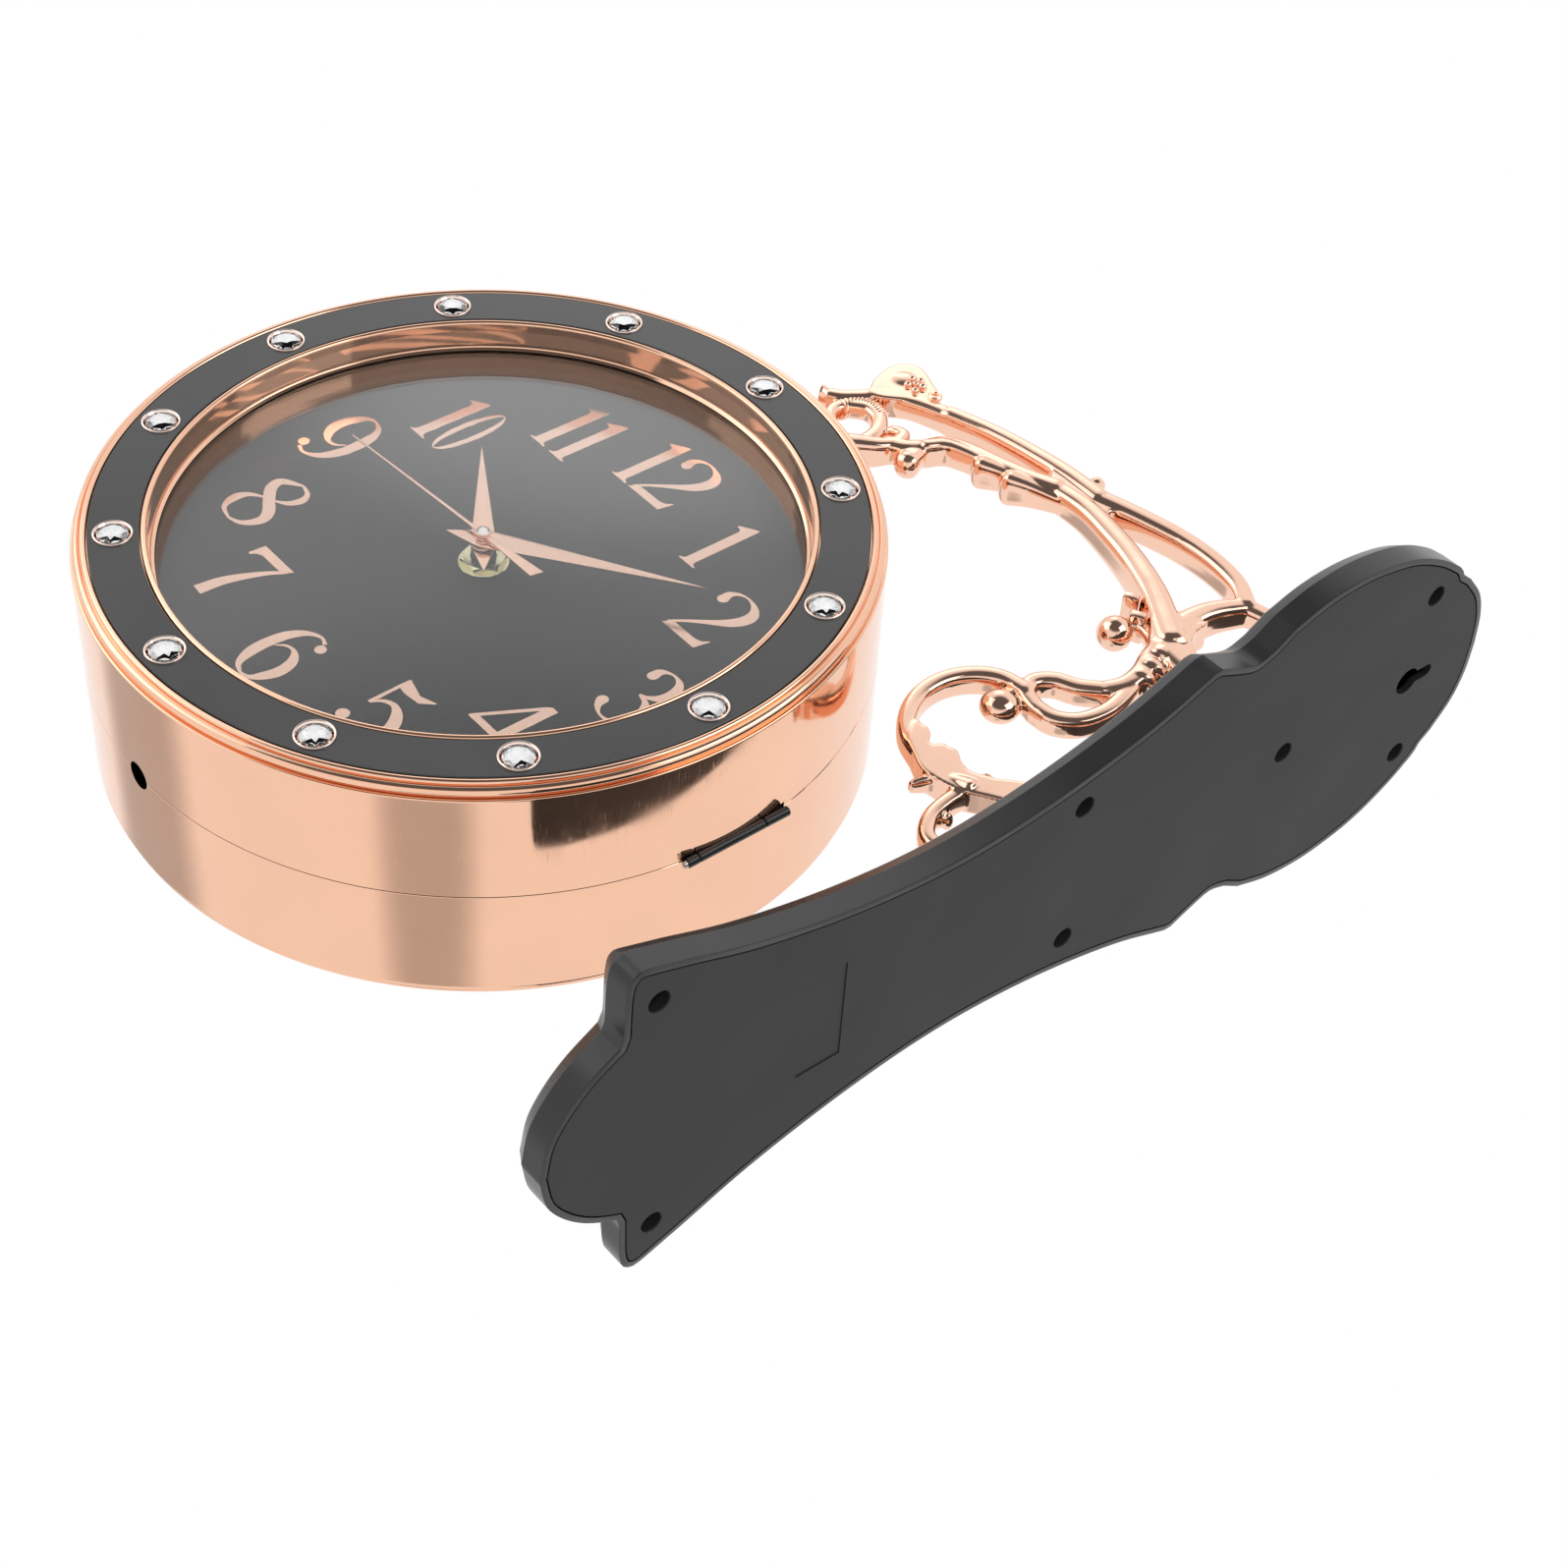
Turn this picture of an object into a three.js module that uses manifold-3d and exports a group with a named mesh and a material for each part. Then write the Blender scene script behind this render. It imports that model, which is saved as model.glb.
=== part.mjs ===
// A double sided station clock: a two-faced drum hung from a scrolled bracket on a wall plate.
// Millimetres. The wall is the plane y = 0, the clock stands out towards -Y and +Z is up at
// 12 o'clock. The front dial faces +X. The origin is on the wall at the height of the dial centres.
import * as THREE from 'three';
import { mergeVertices } from 'three/addons/utils/BufferGeometryUtils.js';
import Module from 'manifold-3d';

const wasm = await Module();
wasm.setup();

// ---------------------------------------------------------------- driving sizes
const gap = 0.3;                    // clearance between neighbours
const fineGap = 0.15;               // half of the seam between the two drum halves

// drum
const drumRadius = 125;
const halfDepth = 42;               // mid-plane to the face of the black ring
const drumReach = 195.5;            // wall to the drum's axis
const wall = 2.6;
const rimWidth = 5.5;               // side wall to the black ring
const ringWidth = 15.5;
const ringThickness = 2.2;
const beadRadius = 1.6;             // outer of the two rolled beads round the rim
const beadInset = 0.8;              // side wall to the widest part of the bead
const beadDrop = 2.6;               // face of the ring down to the middle of the bead
const grooveDrop = 1.8;             // face of the ring down to the groove between bead and lip
const lipRadius = 1;                // small rolled lip on each side of the black ring
const lipRise = 0.2;                // top of the lips above the face of the ring
const shoulder = 5;                 // from the face down to where the plain side wall begins
const boreDepth = 10;               // face to the step that the lens is pushed against
const lensLap = 2.4;                // lens and dial pan reach this far under the bore's step
const sleeveWall = 2;
const seamHoleRadius = 4.6;         // holes in the seam at 12 and 6 o'clock

// snap tongue on the front half, opposite the hinge
const tongueHalf = 9;
const tongueReach = 6;              // past the seam into the rear half
const tongueRoot = [2, 12];         // where the tongue is joined to the wall, along X
const tongueThickness = 1.8;

// pad in the rear half under the 12 o'clock hole
const padThickness = 4;
const padHalf = 10;
const padFront = 8;
const padBack = -18;
const webInset = 6;                 // seam to the rib that ties the pad to the wall
const hangerNutAcross = 9.4;
const hangerNutHeight = 2.6;

// dial side
const dialDepth = 21;               // face of the ring to the face of the dial
const panWall = 1.2;
const lensThickness = 1.8;
const lensRise = 5.5;
const crystalRadius = 4.6;          // the widest part lies level with the face of the ring
const crystalCrown = 1.3;
const bezelWall = 1.3;              // raised collar round each crystal
const bezelRise = 0.6;
const crystalTable = 0.58;          // table as a share of the girdle
const crystalCount = 12;
const crystalSides = 8;
const crownInset = 1.5;             // flat rim round the domed part of the lens
const crownSteps = 4;

// movement and hands
const movementSize = 56;
const movementDepth = 16.6;
const movementChamfer = 4;
const bushRadius = 3.9;
const bushRise = 6.6;               // threaded bush above the dial
const nutAcrossFlats = 13;
const nutHeight = 2.6;
const flangeRadius = 8.1;
const flangeHeight = 0.7;
const batteryRadius = 7.1;
const batteryLength = 49.5;
const batteryDrop = 18.6;           // battery axis below the shaft
const batteryCap = { radius: 2.8, rise: 1 };
const bayClearance = 0.5;
const knobRadius = 5;
const knobThickness = 1.5;
const knobPlace = [14, 13];
const knobShaft = 1.6;
const knobDepth = 4;                // hole for the knob's shaft in the movement
const handThickness = 0.6;
const handLift = 0.6;               // top of the bush to the hour hand
const handSpacing = 1.9;            // from one hand up to the next
const hubWidth = 1.2;               // hub of a hand beyond its pipe
const pipeRise = 0.4;               // pipe above its hand
const shoulderTaper = { share: 0.9, drop: 2 };
const hourBlade = { length: 50.5, half: 4, tail: 14 };
const minuteBlade = { length: 73, half: 4.2, tail: 12.5 };
const secondBlade = { length: 66, half: 0.6, tail: 26, tailHalf: 2.4 };
const hourPipe = 2.7;
const minutePipe = 1.6;
const secondPin = 0.6;
const pipeDepth = 9;                // how far the pipes reach into the bush
const capRadius = 2.4;
const capTop = 1.5;                 // flat on top of the cap
const capWall = 1.2;                // straight part of the cap
const capHeight = 2.9;
const clockTime = { hour: 304.6, minute: 55.4, second: 266 };   // degrees clockwise from 12

// hinge between the halves, on the wall side
const hingeBarrel = 1.6;
const hingePin = 0.7;
const hingeLength = 38;
const hingeCentre = 2;              // height of the barrel's middle
const hingeStandOff = 0.4;          // drum wall to the pin's axis
const knuckleLow = 4;
const knuckleHigh = 9;
const leafThickness = 1;
const leafReach = 12;
const leafInset = 3.8;              // inner wall to the back of the flat leaves
const pinHead = 0.5;                // head of the pin beyond its shank
const pinHeadHeight = 0.8;

// wall plate
const plateDepth = 13;
const plateEdge = 8.5;              // depth of the plain edge before it rounds over
const plateRound = 3;
const plateWall = 2.4;
const panelThickness = 2.3;
const panelRim = 2;
const ledge = 1.6;
const screwHole = 3.5;
const cupWall = 1.2;
const cupDepth = 5.8;
const screwHead = 2.9;
const screwHeadHeight = 2;
const screwShank = 1.3;
const bossWall = 2.2;
const bossSink = 0.8;               // screw tips and bosses into the plate's front wall
const bracketShank = 2;
const bracketScrewBite = 10;        // bracket screw beyond the plate
const plateScrews = [[44.8, -82.6], [26.8, 71], [32.6, 220]];    // [x, z] of each mirrored pair
const bracketScrewHeight = 159.5;
const pegHeight = 84;               // locating peg of the bracket
const pegRadius = 2.5;
const pegReach = 5;
const keyholeHeight = 216;
const keyholeRadius = 4.8;
const keyslotRadius = 2.3;
const keyslotRise = 9;
const labelRecess = { low: -33, high: -17, halfWidth: 18.5, depth: 0.3 };

// bracket arm
const footRadius = 6.6;
const pegFootRadius = 6;
const footSink = 3;                 // feet beyond the middle of the upright
const spineReach = 21;              // wall to the upright behind the scrolls
const spineTop = 186;
const spigotRadius = 4.2;
const spigotDepth = 7;
const hangerShank = 2;
const hangerBite = 12;              // screw hole in the foot of the post
const hangerTop = 152;
const collarSize = { radius: 6.6, height: 4.4, tilt: 0.2 };
const barSides = 6;
const barStep = 11;
const capShare = 0.5;               // pointed ends of the bars, as a share of their radius

const drumSides = 36;
const footSides = 12;
const roundSides = 10;
const smallSides = 8;
const past = 1;                     // how far a cutting tool runs past the face it cuts

// ---------------------------------------------------------------- materials
function paint(color, metalness, roughness) {
  return new THREE.MeshStandardMaterial({ color, metalness, roughness });
}

const roseGold = paint(0xf2bfa2, 1, 0.12);
const blackPlastic = paint(0x2c2c2e, 0, 0.45);
const ringBlack = paint(0x333335, 0, 0.35);
const dialBlack = paint(0x19191b, 0, 0.5);
const handRose = paint(0xf0bba6, 0.6, 0.35);
const clear = new THREE.MeshStandardMaterial({
  color: 0xf4f8fa, roughness: 0.05, transparent: true, opacity: 0.3,
});
const crystalClear = paint(0xeef2f6, 0.1, 0.05);
const brass = paint(0xc9b46a, 1, 0.3);
const steel = paint(0xb8b8ba, 1, 0.3);
const movementBlack = paint(0x1b1b1c, 0, 0.6);
const batteryGreen = paint(0x6f7a72, 0.4, 0.4);

// ---------------------------------------------------------------- solids
function toSolid(geometry) {
  const bare = geometry.clone();
  bare.deleteAttribute('normal');
  bare.deleteAttribute('uv');
  const merged = mergeVertices(bare, 1e-4);
  const place = merged.attributes.position;
  const corner = (index) => new THREE.Vector3().fromBufferAttribute(place, index);
  const triangles = [];
  let volume = 0;
  for (let i = 0; i < merged.index.count; i += 3) {
    const [a, b, c] = [0, 1, 2].map((k) => merged.index.getX(i + k));
    if (a === b || b === c || c === a) continue;
    triangles.push([a, b, c]);
    volume += corner(a).dot(corner(b).cross(corner(c)));
  }
  const facing = volume < 0 ? triangles.map(([a, b, c]) => [a, c, b]) : triangles;
  return new wasm.Manifold(new wasm.Mesh({
    numProp: 3,
    vertProperties: new Float32Array(place.array),
    triVerts: new Uint32Array(facing.flat()),
  }));
}

function toGeometry(solid) {
  const mesh = solid.getMesh();
  const geometry = new THREE.BufferGeometry();
  geometry.setAttribute('position', new THREE.BufferAttribute(new Float32Array(mesh.vertProperties), 3));
  geometry.setIndex(new THREE.BufferAttribute(new Uint32Array(mesh.triVerts), 1));
  geometry.computeVertexNormals();
  return geometry;
}

const join = (geometries) => geometries.map(toSolid).reduce((whole, part) => whole.add(part));

function cut(solid, geometries) {
  return geometries.map(toSolid).reduce((whole, part) => whole.subtract(part), solid);
}

// a profile of [radius, height] pairs, turned round the X axis with its height along +X
function turned(profile, sides) {
  const points = profile.map(([radius, height]) => new THREE.Vector2(radius, height));
  return new THREE.LatheGeometry([...points, points[0]], sides).rotateZ(-Math.PI / 2);
}

// a plain cylinder between two stations along an axis through a point
function rod(axis, radius, from, to, centre = [0, 0, 0], sides = smallSides) {
  const cylinder = new THREE.CylinderGeometry(radius, radius, to - from, sides);
  cylinder.translate(0, (from + to) / 2, 0);
  if (axis === 'x') cylinder.rotateZ(-Math.PI / 2);
  if (axis === 'z') cylinder.rotateX(Math.PI / 2);
  return cylinder.translate(...centre);
}

function block([x0, x1], [y0, y1], [z0, z1]) {
  const box = new THREE.BoxGeometry(x1 - x0, y1 - y0, z1 - z0);
  return box.translate((x0 + x1) / 2, (y0 + y1) / 2, (z0 + z1) / 2);
}

// a flat plate cut to an outline of [across, up] pairs, lying in the YZ plane from x = low to x = high
function flat(outline, low, high, holes = []) {
  const shape = new THREE.Shape(outline.map(([across, up]) => new THREE.Vector2(across, up)));
  shape.holes = holes;
  const slab = new THREE.ExtrudeGeometry(shape, { depth: high - low, bevelEnabled: false });
  return slab.rotateX(Math.PI / 2).rotateZ(Math.PI / 2).translate(low, 0, 0);
}

// a short arc of [radius, height] points; 0 degrees points outwards and 90 degrees to the face
const arc = (middle, height, radius, from, to, steps) => Array.from({ length: steps + 1 }, (_, k) => {
  const angle = THREE.MathUtils.degToRad(from + ((to - from) * k) / steps);
  return [middle + radius * Math.cos(angle), height + radius * Math.sin(angle)];
});

const circle = (radius, sides, [across, up] = [0, 0]) => Array.from({ length: sides }, (_, k) => {
  const angle = (2 * Math.PI * k) / sides;
  return [across + radius * Math.cos(angle), up + radius * Math.sin(angle)];
});

const hole = (outline) => new THREE.Path(outline.map(([across, up]) => new THREE.Vector2(across, up)));

const piece = (name, solid, material) => {
  const mesh = new THREE.Mesh(toGeometry(solid), material);
  mesh.name = name;
  return mesh;
};

// ---------------------------------------------------------------- drum halves
const face = halfDepth;
const dialFace = halfDepth - dialDepth;
const boreStep = halfDepth - boreDepth;
const ringOuter = drumRadius - rimWidth;
const ringInner = ringOuter - ringWidth;
const ringSeat = halfDepth - ringThickness - gap;
const panBack = dialFace - panWall;
const outerLip = ringOuter + gap + lipRadius;
const innerLip = ringInner - gap - lipRadius;
const boreRadius = innerLip - lipRadius;    // opening through which the dial is seen
const panRadius = boreRadius + lensLap;
const sleeveOuter = panRadius + gap + sleeveWall;
const shellInner = drumRadius - wall;

function shellProfile() {
  const lipHeight = face + lipRise - lipRadius;
  return [
    [drumRadius, fineGap],
    [drumRadius, face - shoulder],
    ...arc(drumRadius - beadInset - beadRadius, face - beadDrop, beadRadius, -60, 80, 3),
    [outerLip + lipRadius, face - grooveDrop],
    ...arc(outerLip, lipHeight, lipRadius, 0, 180, 2),
    [ringOuter + gap, ringSeat],
    [ringInner - gap, ringSeat],
    ...arc(innerLip, lipHeight, lipRadius, 0, 180, 2),
    [boreRadius, boreStep],
    [panRadius + gap, boreStep],
    [panRadius + gap, panBack],
    [sleeveOuter, panBack],
    [sleeveOuter, ringSeat - wall],
    [shellInner, ringSeat - wall],
    [shellInner, fineGap],
  ];
}

const hingeRadius = drumRadius + hingeStandOff;
const hingeHalf = hingeLength / 2;
const hingeLow = hingeCentre - hingeHalf;
const hingeHigh = hingeCentre + hingeHalf;
const slotHalf = hingeBarrel + gap;
const leafInner = shellInner - leafInset;
const hingeAxis = [0, hingeRadius, 0];

// the same half for both sides: turned round, with the seam holes and the hinge slot cut away
function shellHalf() {
  return cut(toSolid(turned(shellProfile(), drumSides)), [
    rod('z', seamHoleRadius, -drumRadius - past, drumRadius + past, [0, 0, 0], roundSides),
    block([-slotHalf, slotHalf], [leafInner, drumRadius + past], [hingeLow - gap, hingeHigh + gap]),
  ]);
}

const mirrored = (solid) => solid.mirror([1, 0, 0]);

// the wall's flats come this much further in than its corners
const wallFlat = shellInner * (1 - Math.cos(Math.PI / drumSides));
const tongueOuter = shellInner - wallFlat - 2 * gap;

// a springy tongue on the front half slips inside the rear half opposite the hinge
function frontShell() {
  const across = [-tongueHalf, tongueHalf];
  const inner = -tongueOuter + tongueThickness;
  const root = block(tongueRoot, [-shellInner - wall / 2, inner], across);
  const tongue = block([-tongueReach, tongueRoot[1]], [-tongueOuter, inner], across);
  return shellHalf().add(toSolid(root)).add(toSolid(tongue));
}

// a pad under the 12 o'clock hole carries the drum on the bracket's spigot
const padTop = drumRadius - spigotDepth - gap;

function rearShell() {
  const across = [-padHalf, padHalf];
  const pad = block([padBack, padFront], across, [padTop - padThickness, padTop]);
  const web = block([padBack, -webInset], across, [padTop - padThickness, shellInner + wall / 2]);
  const bore = rod('z', hangerShank + gap, padTop - padThickness - past, padTop + past);
  return cut(mirrored(shellHalf()).add(toSolid(pad)).add(toSolid(web)), [bore]);
}

// ---------------------------------------------------------------- dial side pieces
const clockPoint = (radius, degrees) => {
  const angle = THREE.MathUtils.degToRad(degrees);
  return [radius * Math.sin(angle), radius * Math.cos(angle)];
};

const crystalCircle = (ringInner + ringOuter) / 2;

// a flat ring with a raised collar round the hole of each crystal
function faceRing() {
  const back = face - ringThickness;
  const places = Array.from({ length: crystalCount }, (_, k) => (
    clockPoint(crystalCircle, (360 * k) / crystalCount)
  ));
  const seatRadius = crystalRadius + gap;
  const band = flat(circle(ringOuter, drumSides), back, face, [hole(circle(ringInner, drumSides))]);
  const bezels = places.map((place) => (
    flat(circle(seatRadius + bezelWall, crystalSides, place), back, face + bezelRise)
  ));
  const seats = places.map((place) => (
    flat(circle(seatRadius, crystalSides, place), back - past, face + bezelRise + past)
  ));
  return cut(join([band, ...bezels]), seats);
}

function crystal() {
  return toSolid(turned([
    [0, face - ringThickness],
    [crystalRadius, face],
    [crystalRadius * crystalTable, face + crystalCrown],
    [0, face + crystalCrown],
  ], crystalSides));
}

const lensFront = boreStep - gap;
const lensBack = lensFront - lensThickness;

function dialPan() {
  const rimTop = lensBack - gap;
  const pan = turned([
    [bushRadius + gap, panBack],
    [panRadius, panBack],
    [panRadius, rimTop],
    [panRadius - panWall, rimTop],
    [panRadius - panWall, dialFace],
    [bushRadius + gap, dialFace],
  ], drumSides);
  return toSolid(pan);
}

// the lens sits on the pan's rim and is held under the step of the bore
function lens() {
  const domeRadius = boreRadius - crownInset;
  const crown = Array.from({ length: crownSteps }, (_, k) => {
    const share = 1 - (k + 1) / crownSteps;
    return [domeRadius * share, lensFront + lensRise * (1 - share * share)];
  });
  const under = crown.map(([radius, height]) => [radius, height - lensThickness]).reverse();
  return toSolid(turned([
    [panRadius, lensBack],
    [panRadius, lensFront],
    [domeRadius, lensFront],
    ...crown,
    ...under,
    [domeRadius, lensBack],
  ], drumSides));
}

// ---------------------------------------------------------------- movement, battery and hands
const movementFront = panBack - gap;
const movementBack = movementFront - movementDepth;
const bushTop = dialFace + bushRise;
const pipeFoot = bushTop - pipeDepth;
const centre = [0, 0, 0];

function movement() {
  const half = movementSize / 2;
  const short = half - movementChamfer;
  const outline = [
    [half, -short], [half, short], [short, half], [-short, half],
    [-half, short], [-half, -short], [-short, -half], [short, -half],
  ];
  const bayHalf = batteryRadius + bayClearance;
  const bayEnd = batteryLength / 2 + bayClearance;
  const bay = block(
    [movementBack - past, movementBack + 2 * bayHalf],
    [-bayEnd, bayEnd],
    [-batteryDrop - bayHalf, -batteryDrop + bayHalf],
  );
  const body = join([
    flat(outline, movementBack, movementFront),
    rod('x', bushRadius, movementFront - past, bushTop, centre, roundSides),
  ]);
  return cut(body, [
    bay,
    rod('x', hourPipe + gap, pipeFoot - past, bushTop + past, centre, roundSides),
    rod('x', knobShaft + gap, movementBack - past, movementBack + knobDepth, [0, ...knobPlace]),
  ]);
}

// lies along Y with its cap towards +Y
function battery() {
  const axisAt = movementBack + batteryRadius + gap;
  const end = batteryLength / 2;
  const neck = end - batteryCap.rise;
  const cell = new THREE.LatheGeometry([
    [0, -end], [batteryRadius, -end], [batteryRadius, neck],
    [batteryCap.radius, neck], [batteryCap.radius, end], [0, end],
  ].map(([radius, height]) => new THREE.Vector2(radius, height)), roundSides);
  return toSolid(cell.translate(axisAt, 0, -batteryDrop));
}

function setKnob() {
  const top = movementBack - gap;
  return join([
    rod('x', knobRadius, top - knobThickness, top, [0, ...knobPlace], roundSides),
    rod('x', knobShaft, top - knobThickness / 2, movementBack + knobDepth - gap, [0, ...knobPlace]),
  ]);
}

function dialNut() {
  const bore = hole(circle(bushRadius + gap, roundSides));
  const low = dialFace + gap;
  const flange = turned([
    [bushRadius + gap, low],
    [flangeRadius, low],
    [flangeRadius, low + flangeHeight],
    [bushRadius + gap, low + flangeHeight],
  ], roundSides);
  const hexagon = circle(nutAcrossFlats / Math.sqrt(3), 6);
  return toSolid(flat(hexagon, low, low + nutHeight, [bore])).add(toSolid(flange));
}

const hourAt = bushTop + handLift;
const minuteAt = hourAt + handSpacing;
const secondAt = minuteAt + handSpacing;

// a hand's blade points up from the hub, and the hand is then turned clockwise to its time
function pointedBlade({ length, half, tail }) {
  const { share, drop } = shoulderTaper;
  return [
    [0, length], [-half, 0], [-half * share, -drop],
    [0, -tail], [half * share, -drop], [half, 0],
  ];
}

function needleBlade({ length, half, tail, tailHalf }) {
  const { drop } = shoulderTaper;
  return [
    [0, length], [-half, drop], [-half, -drop], [-tailHalf, -tail],
    [0, -tail + tailHalf], [tailHalf, -tail], [half, -drop], [half, drop],
  ];
}

// a blade on its hub and pipe; a bore of 0 leaves a solid pin
function hand(blade, station, pipeRadius, boreOfPipe, degrees) {
  const top = station + handThickness;
  const whole = join([
    flat(blade, station, top),
    rod('x', pipeRadius + hubWidth, station, top, centre, roundSides),
    rod('x', pipeRadius, pipeFoot, top + pipeRise, centre, roundSides),
  ]);
  const bore = () => rod('x', boreOfPipe, pipeFoot - past, top + past, centre, roundSides);
  const bored = boreOfPipe > 0 ? cut(whole, [bore()]) : whole;
  return bored.rotate([-degrees, 0, 0]);
}

const hourHand = () => hand(pointedBlade(hourBlade), hourAt, hourPipe, minutePipe + gap, clockTime.hour);

function minuteHand() {
  return hand(pointedBlade(minuteBlade), minuteAt, minutePipe, secondPin + gap, clockTime.minute);
}

function secondHand() {
  const cap = turned([
    [0, secondAt],
    [capRadius, secondAt],
    [capRadius, secondAt + capWall],
    [capTop, secondAt + capHeight],
    [0, secondAt + capHeight],
  ], smallSides);
  return hand(needleBlade(secondBlade), secondAt, secondPin, 0, clockTime.second).add(toSolid(cap));
}

// ---------------------------------------------------------------- hinge
// every leaf is drawn in the drum's frame: +Y runs out to the barrel and +X is its own half
function hingeLeaf(spans, bridge) {
  const knuckles = spans.map(([low, high]) => rod('z', hingeBarrel, low, high, hingeAxis, roundSides));
  const straps = spans.map(([low, high]) => block(
    [fineGap, fineGap + leafThickness],
    [leafInner, hingeRadius - hingePin - gap],
    [low, high],
  ));
  const plate = block([fineGap, leafReach], [leafInner, leafInner + leafThickness], bridge);
  return cut(join([...knuckles, ...straps, plate]), [
    rod('z', hingePin + gap, hingeLow - past, hingeHigh + past, hingeAxis),
  ]);
}

const middleSpan = [hingeLow + knuckleLow + gap, hingeHigh - knuckleHigh - gap];
const frontLeaf = () => hingeLeaf([middleSpan], middleSpan);

function rearLeaf() {
  const spans = [[hingeLow, hingeLow + knuckleLow], [hingeHigh - knuckleHigh, hingeHigh]];
  const leaf = hingeLeaf(spans, [hingeLow, hingeHigh]);
  const relief = block(
    [-past, slotHalf],
    [leafInner - past, hingeRadius + hingeBarrel + past],
    [middleSpan[0] - gap, middleSpan[1] + gap],
  );
  return mirrored(cut(leaf, [relief]));
}

function hingePinSolid() {
  const foot = hingeLow - gap;
  return join([
    rod('z', hingePin, foot - pinHeadHeight / 2, hingeHigh + gap, hingeAxis),
    rod('z', hingePin + pinHead, foot - pinHeadHeight, foot, hingeAxis),
  ]);
}

// ---------------------------------------------------------------- wall plate
// half of the plate's outline from the bottom up, as [x, z]; each list is one smooth stretch
const plateStretches = [
  [[0, -120.5], [12, -118], [20.5, -112.8], [27.5, -106], [32, -99.5], [34.5, -95]],
  [[37.5, -93.9], [53, -93.3], [57.4, -92], [59.6, -88.6], [58.4, -83.4]],
  [[54.5, -72], [46, -48], [37.8, -12], [34.4, 22], [36.8, 58], [44.5, 95], [52.8, 118.5]],
  [[53, 121.5], [48.8, 131], [46.7, 137.5], [48.4, 144]],
  [[53, 151.5], [57, 165], [58.3, 179], [57.2, 192], [53.4, 207], [46, 221], [39.4, 229.6]],
  [[37.4, 231.2], [35, 232.4]],
  [[31.4, 236.8], [22, 244], [12, 247.5], [0, 248.6]],
];
const stretchStep = 14;

function plateOutline() {
  const half = plateStretches.flatMap((points) => {
    const curve = new THREE.SplineCurve(points.map(([x, z]) => new THREE.Vector2(x, z)));
    return curve.getSpacedPoints(Math.max(1, Math.round(curve.getLength() / stretchStep)));
  });
  const other = half.slice(1, -1).reverse().map(({ x, y }) => new THREE.Vector2(-x, y));
  return [...half, ...other];
}

// each corner moved inwards along the mean of its two edges' normals
function inset(outline, distance) {
  return outline.map((point, k) => {
    const before = outline[(k + outline.length - 1) % outline.length];
    const after = outline[(k + 1) % outline.length];
    const first = point.clone().sub(before).normalize();
    const second = after.clone().sub(point).normalize();
    const inward = new THREE.Vector2(-first.y - second.y, first.x + second.x).normalize();
    const stretch = Math.max(0.6, inward.dot(new THREE.Vector2(-first.y, first.x)));
    return point.clone().addScaledVector(inward, distance / stretch);
  });
}

// a slab of the outline lying against the wall, from y = -near to y = -far
function plateSlab(outline, near, far, bevel = 0) {
  const slab = new THREE.ExtrudeGeometry(new THREE.Shape(outline), {
    depth: far - near,
    bevelEnabled: bevel > 0,
    bevelThickness: plateDepth - plateEdge,
    bevelSize: bevel,
    bevelOffset: -bevel,
    bevelSegments: 2,
  });
  return slab.rotateX(Math.PI / 2).translate(0, -near, 0);
}

const outline = plateOutline();
const screwPlaces = plateScrews.flatMap(([x, z]) => [[x, z], [-x, z]]);
const cupFloor = cupDepth + cupWall;
const bossTop = cupFloor + gap;
const innerFace = plateDepth - plateWall;
const bracketPlace = [0, bracketScrewHeight];
const pegPlace = [0, pegHeight];

// a cylinder square to the wall at [x, z], from y = -near to y = -far
function upright(radius, near, far, [x, z], sides = smallSides) {
  return rod('y', radius, -far, -near, [x, 0, z], sides);
}

const bossRadius = (shank) => shank + gap + bossWall;

function plateCover() {
  const body = toSolid(plateSlab(outline, 0, plateEdge, plateRound));
  const front = body.trimByPlane([0, -1, 0], 0);
  const open = cut(front, [
    plateSlab(inset(outline, panelRim), -past, panelThickness + gap),
    plateSlab(inset(outline, panelRim + ledge), panelThickness, innerFace),
  ]);
  const bosses = [
    ...screwPlaces.map((place) => upright(bossRadius(screwShank), bossTop, innerFace + bossSink, place)),
    upright(bossRadius(bracketShank), bossTop, innerFace + bossSink, bracketPlace),
  ];
  const bossed = bosses.map(toSolid).reduce((whole, part) => whole.add(part), open);
  return cut(bossed, [
    ...screwPlaces.map((place) => upright(screwShank + gap, bossTop - past, innerFace + bossSink, place)),
    upright(bracketShank + gap, bossTop - past, plateDepth + past, bracketPlace),
    upright(pegRadius + gap, innerFace - past, plateDepth + past, pegPlace),
  ]);
}

function platePanel() {
  const panel = toSolid(plateSlab(inset(outline, panelRim + gap), 0, panelThickness));
  const places = [...screwPlaces, bracketPlace];
  const cups = places.map((place) => upright(screwHole + cupWall, panelThickness / 2, cupFloor, place));
  const cupped = cups.map(toSolid).reduce((whole, part) => whole.add(part), panel);
  const slotTop = keyholeHeight + keyslotRise;
  const through = panelThickness + past;
  const label = block(
    [-labelRecess.halfWidth, labelRecess.halfWidth],
    [-labelRecess.depth, past],
    [labelRecess.low, labelRecess.high],
  );
  return cut(cupped, [
    ...places.map((place) => upright(screwHole, -past, cupDepth, place)),
    ...screwPlaces.map((place) => upright(screwShank + gap, cupDepth - past, cupFloor + past, place)),
    upright(bracketShank + gap, cupDepth - past, cupFloor + past, bracketPlace),
    upright(keyholeRadius, -past, through, [0, keyholeHeight], roundSides),
    upright(keyslotRadius, -past, through, [0, slotTop]),
    block([-keyslotRadius, keyslotRadius], [-through, past], [keyholeHeight, slotTop]),
    label,
  ]);
}

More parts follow.
